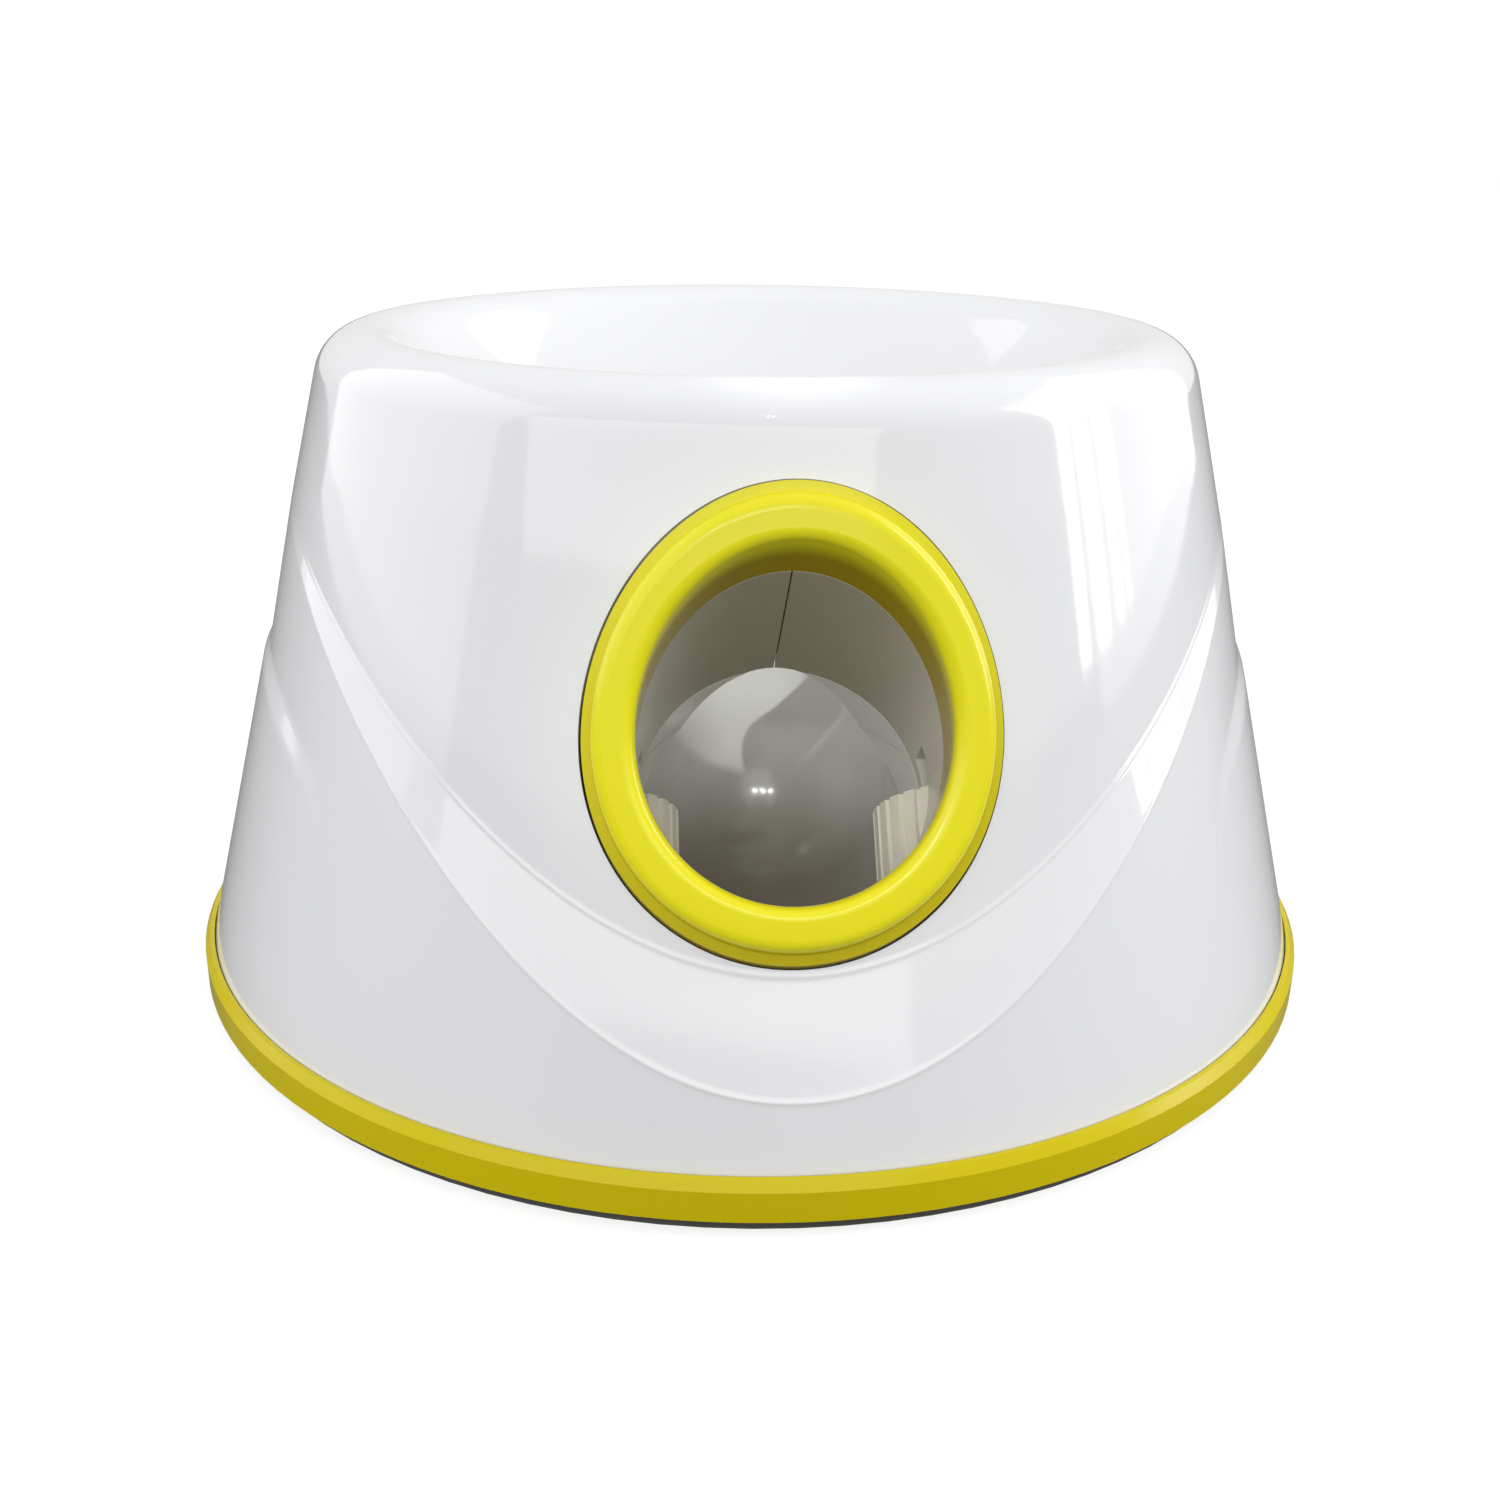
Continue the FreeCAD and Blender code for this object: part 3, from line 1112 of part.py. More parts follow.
for row in range(int(num("sizes.cell_rows"))):
    row_y = "sizes.box_front + sizes.box_wall + %s * %g" % (CELL_PITCH, row + 0.5)
    for side in (-1, 1):
        start = to_side(side, "sizes.cell_middle", "sizes.cell_length")
        cells.append(cylinder("cell_%d_%d" % (row, side), "sizes.cell_radius", "sizes.cell_length",
                              (start, row_y, CELL_Z), *ALONG_X))
    springs.append(cylinder("spring_%d" % row, "sizes.spring_radius", "sizes.spring_length",
                            ("sizes.cell_middle + sizes.cell_length", row_y, CELL_Z), *ALONG_X))
    plates.append(box("contact_%d" % row, "sizes.spring_length", "sizes.contact_size",
                      "sizes.contact_size",
                      ("-sizes.cell_middle - sizes.cell_length - sizes.spring_length",
                       row_y + " - sizes.contact_size / 2", CELL_Z + " - sizes.contact_size / 2")))
    plates.append(box("link_%d" % row, "sizes.link_length", "sizes.link_size", "sizes.link_size",
                      ("-sizes.link_length / 2", row_y + " - sizes.link_size / 2",
                       CELL_Z + " - sizes.link_size / 2")))
battery_cells = group("battery_cells", *cells)
battery_springs = group("battery_springs", *springs)
battery_contacts = group("battery_contacts", *plates)

# ---------------------------------------------------------------- control board, sensors, beeper
# each part on the board: place across and along from the board's middle, then its three sizes
CHIPS = [(-26, -17, 14, 10, 8), (-6, -17, 12, 12, 2.2), (12, -19, 8, 16, 6),
         (-24, 3, 10, 6, 1.8), (24, -1, 9, 18, 5), (-8, 15, 22, 6, 7)]
CAPACITORS = [(2, 1), (12, 1)]
BEEPER = (-20, 18)


def on_board(across, along):
    return str(across), "%s + %g" % (BOX_MIDDLE, along), BOARD_TOP


control_board = cut("control_board",
                    box("board_plate", "sizes.board_across", "sizes.board_along",
                        "sizes.board_thickness",
                        ("-sizes.board_across / 2", BOX_MIDDLE + " - sizes.board_along / 2", BOARD_Z)),
                    fuse("board_holes", *[
                        cylinder("board_hole_%d" % index, "sizes.small_screw + sizes.shank_gap",
                                 "3 * sizes.board_thickness",
                                 (x, y, BOARD_Z + " - sizes.board_thickness"))
                        for index, (x, y) in enumerate(BOARD_SPOTS)]))
chips = [box("chip_%d" % index, str(length), str(width), str(height), on_board(x, y))
         for index, (x, y, length, width, height) in enumerate(CHIPS)]
capacitors = [cylinder("capacitor_%d" % index, "sizes.capacitor_radius", "sizes.capacitor_height",
                       on_board(x, y)) for index, (x, y) in enumerate(CAPACITORS)]
board_parts = group("board_parts", *(chips + capacitors))
beeper = cylinder("beeper", "sizes.beeper_radius", "sizes.beeper_height", on_board(*BEEPER))
sensors = []
for side, word in ((-1, "emitter"), (1, "receiver")):
    lens_start = "%d * %s - sizes.sensor_lens_length / 2" % (side, TUBE_OUTER)
    card_start = to_side(side, TUBE_OUTER + " + sizes.sensor_lens_length / 2", "sizes.sensor_card")
    sensors.append(fuse(
        "ball_sensor_" + word,
        cylinder("sensor_lens_" + word, "sizes.sensor_lens", "sizes.sensor_lens_length",
                 (lens_start, HOLE_Y, SENSOR_Z), *ALONG_X),
        box("sensor_card_" + word, "sizes.sensor_card", "sizes.sensor_card_along",
            "sizes.sensor_card_height",
            (card_start, HOLE_Y + " - sizes.sensor_card_along / 2",
             "sizes.elbow_height + sizes.sensor_card_low"))))

# ---------------------------------------------------------------- rear control panel
PANEL_LEVELS = (RING_Z, "sizes.shoulder_height")
BOARD_BACK = "(-sizes.panel_board_depth)"
CAP_BACK = "(-sizes.button_cap_depth)"
FLANGE_BACK = "(%s - sizes.button_flange)" % CAP_BACK
panel_front = cut("panel_front",
                  common("panel_skin", stadium("panel_bar", "0"),
                         wall_cone("panel_out", "sizes.panel_proud", *PANEL_LEVELS)),
                  wall_cone("panel_in", BEHIND, *PANEL_LEVELS))
panel_rear = cut("panel_rear",
                 common("panel_lip", stadium("panel_wide", "sizes.panel_flange_wide"),
                        wall_cone("panel_lip_out", BEHIND, *PANEL_LEVELS)),
                 wall_cone("panel_lip_in", BEHIND + " - sizes.panel_flange", *PANEL_LEVELS))


def panel_round(name, radius, start, end, across):
    """A round bar square to the rear panel between two depths."""
    return cylinder(name, radius, "(%s) - (%s)" % (end, start),
                    on_wall("sizes.panel_height", across, "0", start), *PANEL_TURN)


def panel_row(name, radius, start, end, spacing, steps=(-1, 1)):
    """Round bars in a row across the panel."""
    return [panel_round("%s_%d" % (name, step), radius, start, end, "%d * %s" % (step, spacing))
            for step in steps]


LIGHTS = (-1, 0, 1)
panel_posts = panel_row("panel_post", "sizes.panel_post", BOARD_BACK,
                        BEHIND + " - sizes.panel_flange / 2", "sizes.panel_post_across")
panel_tools = panel_row("button_hole", "sizes.button_radius", DEEP, "-" + DEEP, "sizes.button_across") \
    + panel_row("light_hole", "sizes.light_radius + sizes.light_clearance", DEEP, "-" + DEEP,
                "sizes.light_pitch", LIGHTS) \
    + panel_row("panel_thread", "sizes.panel_screw + " + THREAD, BOARD_BACK,
                BOARD_BACK + " + sizes.panel_screw_length", "sizes.panel_post_across")
control_panel = cut("control_panel", fuse("panel_blank", panel_front, panel_rear, *panel_posts),
                    fuse("panel_tools", *panel_tools))
buttons = []
for side, word in ((-1, "distance_button"), (1, "power_button")):
    across = "%d * sizes.button_across" % side
    cap = panel_round(word + "_cap", "sizes.button_radius - " + FIT, CAP_BACK, "sizes.button_proud", across)
    flange_ring = panel_round(word + "_rim", "sizes.button_radius + sizes.button_flange", FLANGE_BACK,
                              CAP_BACK, across)
    stem = panel_round(word + "_stem", "sizes.button_stem", FLANGE_BACK + " - sizes.button_stem_length",
                       FLANGE_BACK, across)
    buttons.append(fuse(word, cap, flange_ring, stem))
level_lights = group("level_lights", *panel_row("light", "sizes.light_radius", BOARD_BACK,
                                                "sizes.light_proud", "sizes.light_pitch", LIGHTS))
button_board = cut("button_board",
                   box("button_card", "sizes.card_across", "sizes.card_tall", "sizes.board_thickness",
                       on_wall("sizes.panel_height", "-sizes.card_across / 2", "-sizes.card_tall / 2",
                               BOARD_BACK + " - sizes.board_thickness"), *PANEL_TURN),
                   fuse("card_holes", *panel_row("card_hole", "sizes.panel_screw + sizes.shank_gap",
                                                 DEEP, "0", "sizes.panel_post_across")))
tact_switches = group("tact_switches", *[
    box("switch_%d" % side, "sizes.switch_size", "sizes.switch_size", "sizes.switch_height",
        on_wall("sizes.panel_height", "%d * sizes.button_across - sizes.switch_size / 2" % side,
                "-sizes.switch_size / 2", BOARD_BACK), *PANEL_TURN) for side in (-1, 1)])


# ---------------------------------------------------------------- power inlet
def inlet_round(name, radius, start, end):
    """A round bar on the inlet's axis between two depths."""
    return cylinder(name, radius, "(%s) - (%s)" % (end, start),
                    on_wall("sizes.inlet_height", "0", "0", start), *PANEL_TURN)


inlet_neck = inlet_round("inlet_neck", "sizes.inlet_radius", "-sizes.inlet_neck", "sizes.inlet_proud")
inlet_body = box("inlet_body", "sizes.inlet_body", "sizes.inlet_body_tall", "sizes.inlet_body_tall",
                 on_wall("sizes.inlet_height", "-sizes.inlet_body / 2", "-sizes.inlet_body_tall / 2",
                         "-sizes.inlet_body_depth"), *PANEL_TURN)
inlet_bore = cut("inlet_bore",
                 inlet_round("inlet_socket", "sizes.inlet_socket", "-sizes.inlet_socket_depth",
                             "2 * sizes.inlet_proud"),
                 inlet_round("inlet_pin", "sizes.inlet_pin", "-sizes.inlet_neck",
                             "-sizes.inlet_pin_depth"))
dc_inlet = cut("dc_inlet", fuse("inlet_blank", inlet_neck, inlet_body), inlet_bore)

# ---------------------------------------------------------------- feet and fasteners
feet = [cylinder("foot_%d" % index, "sizes.foot_radius", "sizes.foot_height",
                 ("%s * sin(%g)" % (FOOT_CIRCLE, 180 + 360 / FOOT_COUNT * index),
                  "-%s * cos(%g)" % (FOOT_CIRCLE, 180 + 360 / FOOT_COUNT * index), "0"))
        for index in range(FOOT_COUNT)]
rubber_feet = group("rubber_feet", *feet)


def screw(name, sizes, point, end, turn=(None, None)):
    """A screw with a flat head, given where the head's base and the shank's base lie."""
    head_radius, head_height, radius, length = sizes
    return fuse(name, cylinder(name + "_head", head_radius, head_height, point, *turn),
                cylinder(name + "_shank", radius, length, end, *turn))


def up_screw(name, sizes, x, y, seat):
    """A screw driven upward whose head's upper face lies at the seat's height."""
    return screw(name, sizes, (x, y, "%s - %s" % (seat, sizes[1])), (x, y, seat))


LONG_SCREW = ("sizes.screw_head", "sizes.head_height", "sizes.screw_radius",
              "%s - %s - sizes.head_depth" % (SCREW_TOP, PAN_Z))
LOW_SCREW = ("sizes.screw_head - sizes.shank_gap", "sizes.low_head_height", "sizes.screw_radius",
             "sizes.low_screw_length")
COVER_SCREW = ("sizes.small_head", "sizes.low_head_height", "sizes.small_screw",
               "sizes.cover_screw_length")
MOTOR_SCREW = ("sizes.motor_head", "sizes.motor_head_height", "sizes.small_screw",
               "sizes.motor_screw_length")
BOARD_SCREW = ("sizes.small_head", "sizes.board_head_height", "sizes.small_screw",
               "sizes.board_screw_length")
CARD_BACK = "(%s - sizes.board_thickness)" % BOARD_BACK
shell_screws = group("shell_screws", *[
    up_screw("shell_screw_%d" % index, LONG_SCREW, x, y, PAN_Z + " + sizes.head_depth")
    for index, (x, y) in enumerate(CORNERS)])
chassis_screws = group("chassis_screws", *[
    up_screw("low_screw_%d" % index, LOW_SCREW, x, y, PAN_Z + " + sizes.low_head_depth")
    for index, (x, y) in enumerate(low_screws)])
cover_screw = up_screw("cover_screw", COVER_SCREW, "0", COVER_SCREW_Y,
                       COVER_LOW + " + sizes.low_head_depth")
motor_screws = group("motor_screws", *[
    screw("motor_screw_%d_%d" % (side, step), MOTOR_SCREW,
          wheel_side(side, "sizes.wheel_depth", MOUNT_TOP, "%d * sizes.motor_screw_across" % step),
          wheel_side(side, "sizes.wheel_depth", MOUNT_TOP + " - sizes.motor_screw_length",
                     "%d * sizes.motor_screw_across" % step), WHEEL_AXIS)
    for side in (-1, 1) for step in (-1, 1)])
board_screws = group("board_screws", *[
    screw("board_screw_%d" % index, BOARD_SCREW, (x, y, BOARD_TOP),
          (x, y, BOARD_TOP + " - sizes.board_screw_length"))
    for index, (x, y) in enumerate(BOARD_SPOTS)])
card_heads = panel_row("panel_screw_head", "sizes.panel_head", CARD_BACK + " - sizes.panel_head_height",
                       CARD_BACK, "sizes.panel_post_across")
card_shanks = panel_row("panel_screw_shank", "sizes.panel_screw", CARD_BACK,
                        CARD_BACK + " + sizes.panel_screw_length", "sizes.panel_post_across")
panel_screws = group("panel_screws", *[
    fuse("panel_screw_%d" % index, head, shank)
    for index, (head, shank) in enumerate(zip(card_heads, card_shanks))])

# ---------------------------------------------------------------- check and write
NODES = [outer_shell, base_pan, port_bezel, barrel_left, barrel_right, elbow_cup, drop_tube,
         feed_gate, gate_shaft, gate_motor] + rotors + [
         battery_box, battery_cover, battery_cells, battery_springs, battery_contacts,
         control_board, board_parts, beeper, control_panel, level_lights, button_board,
         tact_switches, dc_inlet, rubber_feet, shell_screws, chassis_screws, cover_screw,
         motor_screws, board_screws, panel_screws] + sensors + buttons
doc.recompute()
failed = [item.Name for item in doc.Objects if "Invalid" in item.State or "Error" in item.State]
failed += [item.Name for item in NODES if item.Shape.isNull() or not item.Shape.isValid()]
if failed:
    raise RuntimeError("these objects failed: %s" % ", ".join(failed))
os.makedirs("parts", exist_ok=True)
for item in NODES:
    item.Shape.exportStep(os.path.join("parts", item.Label + ".step"))
    print("%-24s %2d solid(s) %12.1f mm3" % (item.Label, len(item.Shape.Solids), item.Shape.Volume))
print("%d nodes" % len(NODES))
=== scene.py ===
import json
import math

import bmesh
import bpy
import numpy as np
from mathutils import Matrix, Vector


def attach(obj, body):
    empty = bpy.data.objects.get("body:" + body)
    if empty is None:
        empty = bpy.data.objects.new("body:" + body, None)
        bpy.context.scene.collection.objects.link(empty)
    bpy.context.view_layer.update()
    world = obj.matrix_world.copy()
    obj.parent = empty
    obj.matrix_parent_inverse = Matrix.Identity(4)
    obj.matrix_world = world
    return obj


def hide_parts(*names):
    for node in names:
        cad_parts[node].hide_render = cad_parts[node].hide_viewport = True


# Automatic dog ball launcher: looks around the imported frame.
# Shape sizes are millimetres until a mesh is made. Levels in materials and the sizes and
# distances of lights are metres.

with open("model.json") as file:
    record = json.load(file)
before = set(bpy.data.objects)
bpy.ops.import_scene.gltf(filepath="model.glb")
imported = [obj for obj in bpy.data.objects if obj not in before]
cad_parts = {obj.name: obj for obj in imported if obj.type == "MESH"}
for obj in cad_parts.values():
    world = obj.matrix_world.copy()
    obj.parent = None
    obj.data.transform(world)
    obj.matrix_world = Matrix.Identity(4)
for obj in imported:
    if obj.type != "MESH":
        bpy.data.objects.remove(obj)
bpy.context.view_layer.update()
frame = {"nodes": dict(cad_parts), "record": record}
MM = 0.001
IMAGE = 1500

# ---------------------------------------------------------------- cabinet sizes
SHELL_RADIUS = 142.3
RING_TOP = 12.6
LEDGE = 9.9
WALL = 3.0
WALL_SLOPE = math.radians(14.43)
HEIGHT = 161.2
RIM_ROUND = 12.4
SHOULDER = 134.0
HOPPER_SLOPE = math.radians(55)
HOPPER_LOW = 106.0
HOPPER_END = 0.35
HOLE_RADIUS = 30.5
HOLE_OFFSET = 34.0
SWOOSH_LOW = 26.8
SWOOSH_HIGH = 50.0
SWOOSH_LOW_CURVE = 0.0076
SWOOSH_HIGH_CURVE = 0.0060
SWOOSH_STEP = 3.2
SWOOSH_REACH = math.radians(80)
SIDE_START = math.radians(48)
SIDE_FULL = math.radians(62)
SIDE_FADE = math.radians(96)
SIDE_END = math.radians(122)
SIDE_STEP = 0.95
SIDE_HEIGHT = 44.0
SIDE_CLIMB = 68.0
SIDE_WIDTH = 6.0
SIDE_NARROWING = 3.0
SIDE_ROOM_ABOVE = 0.35
SIDE_ROOM_BELOW = 0.3
LOW_CREASE_LIMIT = SHOULDER - 8.0
HIGH_CREASE_LIMIT = SHOULDER - 4.0
CREASE_SPACING = 2.0
CREASE_SHARE = 0.3
CREASE_ROWS = ((5, 4), (2, 4), (5, 10), (8, 10))
CREASE = 0.8
CREASE_BLEND = (-1.0, -0.5, 0.0, 0.5, 1.0)
RIDGE = 0.20
RIDGE_REACH = 0.5
RING_GAP = 0.4

# how finely the shell is divided
SHELL_COLUMNS = 300
RIM_STEPS = 22
HOPPER_STEPS = 30
SHOULDER_STEPS = 12
COLLAR_STEPS = 6
EDGE_ROUNDS = 12
SHELL_SHARP = math.radians(32)
NODE_SHARP = math.radians(28)

# port and barrel
PORT_HEIGHT = 98.5
BARREL_TILT = math.radians(40)
SLEEVE_RADIUS = 34.0
BEZEL_RADIUS = 41.6
BEZEL_SEAT = 1.0
GAP = 0.3
BEZEL_GAP = 0.4
GROOVE = 2.6
GROOVE_TUCK = 0.2

# rear panel and inlet
PANEL_HEIGHT = 47.0
PANEL_WIDTH = 74.0
PANEL_TALL = 27.0
INLET_HEIGHT = 23.0
INLET_RADIUS = 4.6


# ---------------------------------------------------------------- mesh helpers
def mesh_object(name, points, faces, smooth=True):
    """A mesh object from points in millimetres."""
    mesh = bpy.data.meshes.new(name)
    mesh.from_pydata([tuple(value * MM for value in point) for point in points], [], faces)
    mesh.validate()
    mesh.update()
    mesh.polygons.foreach_set("use_smooth", [smooth] * len(mesh.polygons))
    item = bpy.data.objects.new(name, mesh)
    bpy.context.scene.collection.objects.link(item)
    return item


def ring_grid(rings, close_first=False, close_last=False):
    """Points and faces of closed rings joined one to the next."""
    count = len(rings[0])
    points = [point for ring in rings for point in ring]
    faces = []
    for row in range(len(rings) - 1):
        for step in range(count):
            after = (step + 1) % count
            faces.append((row * count + step, row * count + after,
                          (row + 1) * count + after, (row + 1) * count + step))
    if close_first:
        faces.append(tuple(reversed(range(count))))
    if close_last:
        start = (len(rings) - 1) * count
        faces.append(tuple(range(start, start + count)))
    return points, faces


def smoothstep(value, low, high):
    share = min(max((value - low) / (high - low), 0.0), 1.0)
    return share * share * (3 - 2 * share)


# ---------------------------------------------------------------- cabinet shell
def cone_radius(height):
    """The plain cone's radius at a height."""
    return SHELL_RADIUS - math.tan(WALL_SLOPE) * (height - RING_TOP)


def swoosh_edge(azimuth, base, curve):
    """Height of a swoosh edge on the cone, a parabola as seen from the front."""
    height = base
    for _ in range(EDGE_ROUNDS):
        height = base + curve * (cone_radius(height) * math.sin(azimuth)) ** 2
    return height


def side_edges(azimuth, low_edge):
    """Heights of the fainter side crease: where it starts and where it ends."""
    turn = abs(azimuth)
    if turn >= SIDE_START:
        share = (turn - SIDE_START) / (math.radians(90) - SIDE_START)
        start = SIDE_HEIGHT + SIDE_CLIMB * share ** 0.5
    else:
        start = RING_TOP + (SIDE_HEIGHT - RING_TOP) * (turn / SIDE_START) ** 2
    width = SIDE_WIDTH - SIDE_NARROWING * smoothstep(turn, SIDE_FULL, math.radians(90))
    room = low_edge - RING_TOP
    start = min(start, low_edge - SIDE_ROOM_ABOVE * room)
    start = max(start, RING_TOP + SIDE_ROOM_BELOW * room)
    return start, min(start + width, start + 0.5 * (low_edge - start))


def creases(azimuth):
    """The four crease heights at an azimuth and the insets at the side and front creases."""
    turn = abs(azimuth)
    low = LOW_CREASE_LIMIT
    high = HIGH_CREASE_LIMIT
    if turn < math.pi / 2:
        low = min(swoosh_edge(azimuth, SWOOSH_LOW, SWOOSH_LOW_CURVE), LOW_CREASE_LIMIT)
        high = swoosh_edge(azimuth, SWOOSH_HIGH, SWOOSH_HIGH_CURVE)
    high = min(max(high, low + CREASE_SPACING), HIGH_CREASE_LIMIT)
    side_low, side_high = side_edges(azimuth, low)
    side = SIDE_STEP * smoothstep(turn, SIDE_START, SIDE_FULL) \
        * (1 - smoothstep(turn, SIDE_FADE, SIDE_END))
    front = SWOOSH_STEP * math.cos(min(turn / SWOOSH_REACH, 1) * math.pi / 2) ** 2
    return (side_low, side_high, low, high), side, front


def wall_inset(height, levels, side, front):
    """How far the wall lies inside the plain cone, with each crease rounded off."""
    side_low, side_high, low, high = levels
    total = 0.0
    for step in CREASE_BLEND:
        total += np.interp(height + step * CREASE, [side_low, side_high, low, high, SHOULDER],
                           [0.0, side, 0.0, front, 0.0])
    ridges = sum(math.exp(-((height - crease) / RIDGE_REACH) ** 2) for crease in (low, high))
    return total / len(CREASE_BLEND) - RIDGE * ridges * front / SWOOSH_STEP


def spread(low, high, count):
    """Levels after the first one up to the last, evenly spaced."""
    return [low + (high - low) * (index + 1) / count for index in range(count)]


def wall_levels(levels):
    """Heights of the wall's rows, closer together beside each crease."""
    rows = [LEDGE, RING_TOP - RING_GAP, RING_TOP + RING_GAP]
    start = rows[-1]
    for crease, (count, fine) in zip(levels, CREASE_ROWS):
        reach = min(2 * CREASE, CREASE_SHARE * (crease - start))
        rows += spread(start, crease - reach, count)
        rows += spread(crease - reach, crease + reach, fine)
        start = crease + reach
    return rows + spread(start, SHOULDER, SHOULDER_STEPS)


def shell_column(azimuth):
    """The outer skin's points at one azimuth, from the ledge over the rim to the hole."""
    levels, side, front = creases(azimuth)
    points = []
    for height in wall_levels(levels):
        radius = cone_radius(max(height, RING_TOP)) - wall_inset(height, levels, side, front)
        points.append((radius, height, 0.0))
    centre_z = HEIGHT - RIM_ROUND
    centre_r = cone_radius(centre_z) - RIM_ROUND / math.cos(WALL_SLOPE)
    foot_z = centre_z + RIM_ROUND * math.sin(WALL_SLOPE)
    points += [(cone_radius(height), height, 0.0)
               for height in spread(SHOULDER, foot_z, COLLAR_STEPS)[:-1]]
    last = math.pi / 2 + HOPPER_SLOPE
    for step in range(RIM_STEPS + 1):
        angle = WALL_SLOPE + (last - WALL_SLOPE) * step / RIM_STEPS
        points.append((centre_r + RIM_ROUND * math.cos(angle),
                       centre_z + RIM_ROUND * math.sin(angle), 0.0))
    start_r, start_z, _ = points[-1]
    drop = start_z - HOPPER_LOW
    reach = start_r - HOLE_RADIUS
    first = math.tan(HOPPER_SLOPE) * reach / drop
    for share in spread(0.0, 1.0, HOPPER_STEPS):
        fall = first * share + (3 - 2 * first - HOPPER_END) * share ** 2 \
            + (first + HOPPER_END - 2) * share ** 3
        slide = share * share * (3 - 2 * share)
        points.append((start_r - reach * share, start_z - drop * fall, -HOLE_OFFSET * slide))
    return points


def outer_skin():
    """The shell's outer skin, which the wall's thickness is added to."""
    columns = []
    for index in range(SHELL_COLUMNS):
        azimuth = 2 * math.pi * index / SHELL_COLUMNS
        if azimuth > math.pi:
            azimuth -= 2 * math.pi
        columns.append([(radius * math.sin(azimuth), shift - radius * math.cos(azimuth), height)
                        for radius, height, shift in shell_column(azimuth)])
    rings = [[column[row] for column in columns] for row in range(len(columns[0]))]
    points, faces = ring_grid(rings)
    return mesh_object("cabinet_shell", points, faces)


# ---------------------------------------------------------------- port geometry
PORT = Vector((0, -cone_radius(PORT_HEIGHT), PORT_HEIGHT))
OUT = Vector((0, -math.cos(BARREL_TILT), math.sin(BARREL_TILT)))
UP = Vector((0, math.sin(BARREL_TILT), math.cos(BARREL_TILT)))
SHOULDER_R = cone_radius(SHOULDER)
FACE_SLOPE = (cone_radius(SWOOSH_HIGH) - SWOOSH_STEP - SHOULDER_R) / (SHOULDER - SWOOSH_HIGH)
PLUG_COUNT = 120
PLUG_INWARD = -30.0
PLUG_OUTWARD = 60.0
HALVINGS = 40
BAR_STEPS = 24
BAR_DEPTH = 22.0


def along(radius, turn, out):
    """A point at a radius and turn around the barrel's axis, some way out along it."""
    across = Vector((1, 0, 0)) * radius * math.sin(turn)
    return PORT + OUT * out + across + UP * radius * math.cos(turn)


def on_face(radius, turn, proud):
    """The same, out to the cone that the port's face follows, moved out by an offset."""
    low, high = -PLUG_OUTWARD, PLUG_OUTWARD
    for _ in range(HALVINGS):
        middle = (low + high) / 2
        point = along(radius, turn, middle)
        cone = SHOULDER_R + FACE_SLOPE * (SHOULDER - point.z) + proud
        if math.hypot(point.x, point.y) > cone:
            high = middle
        else:
            low = middle
    return along(radius, turn, middle)


def port_plug():
    """A stepped plug that cuts the port's hole and the bezel's seat."""
    turns = [2 * math.pi * index / PLUG_COUNT for index in range(PLUG_COUNT)]
    hole = SLEEVE_RADIUS + GAP
    seat = BEZEL_RADIUS + BEZEL_GAP
    rings = [[along(hole, turn, PLUG_INWARD) for turn in turns],
             [on_face(hole, turn, -BEZEL_SEAT) for turn in turns],
             [on_face(hole + (seat - hole) / 2, turn, -BEZEL_SEAT) for turn in turns],
             [on_face(BEZEL_RADIUS - GROOVE_TUCK, turn, -BEZEL_SEAT) for turn in turns],
             [on_face(BEZEL_RADIUS - GROOVE_TUCK, turn, -GROOVE) for turn in turns],
             [on_face(seat, turn, -GROOVE) for turn in turns],
             [along(seat, turn, PLUG_OUTWARD) for turn in turns]]
    points, faces = ring_grid(rings, True, True)
    return mesh_object("port_plug", points, faces, False)


def rear_bar(name, height, half_width, radius):
    """A bar with round ends that stands through the rear wall, square to it."""
    normal = Vector((0, math.cos(WALL_SLOPE), math.sin(WALL_SLOPE)))
    up = Vector((0, -math.sin(WALL_SLOPE), math.cos(WALL_SLOPE)))
    centre = Vector((0, cone_radius(height), height))
    outline = []
    for side in (1, -1):
        for step in range(BAR_STEPS + 1):
            angle = math.pi / 2 - math.pi * step / BAR_STEPS
            across = side * (half_width + radius * math.cos(angle))
            outline.append(centre + Vector((across, 0, 0)) + up * side * radius * math.sin(angle))
    rings = [[point + normal * depth for point in outline] for depth in (-BAR_DEPTH, BAR_DEPTH)]
    points, faces = ring_grid(rings, True, True)
    return mesh_object(name, points, faces, False)


def cut_with(item, tool):
    """Add a cut of one object by another."""
    change = item.modifiers.new(tool.name, "BOOLEAN")
    change.operation = "DIFFERENCE"
    change.solver = "EXACT"
    change.object = tool


def apply_modifiers(item):
    """Turn the object's evaluated shape into its mesh."""
    graph = bpy.context.evaluated_depsgraph_get()
    shape = bpy.data.meshes.new_from_object(item.evaluated_get(graph))
    item.modifiers.clear()
    old = item.data
    item.data = shape
    bpy.data.meshes.remove(old)


def outward_faces(item):
    """Turn every face of a closed or flat mesh the right way out."""
    graph = bmesh.new()
    graph.from_mesh(item.data)
    bmesh.ops.recalc_face_normals(graph, faces=graph.faces)
    graph.to_mesh(item.data)
    graph.free()


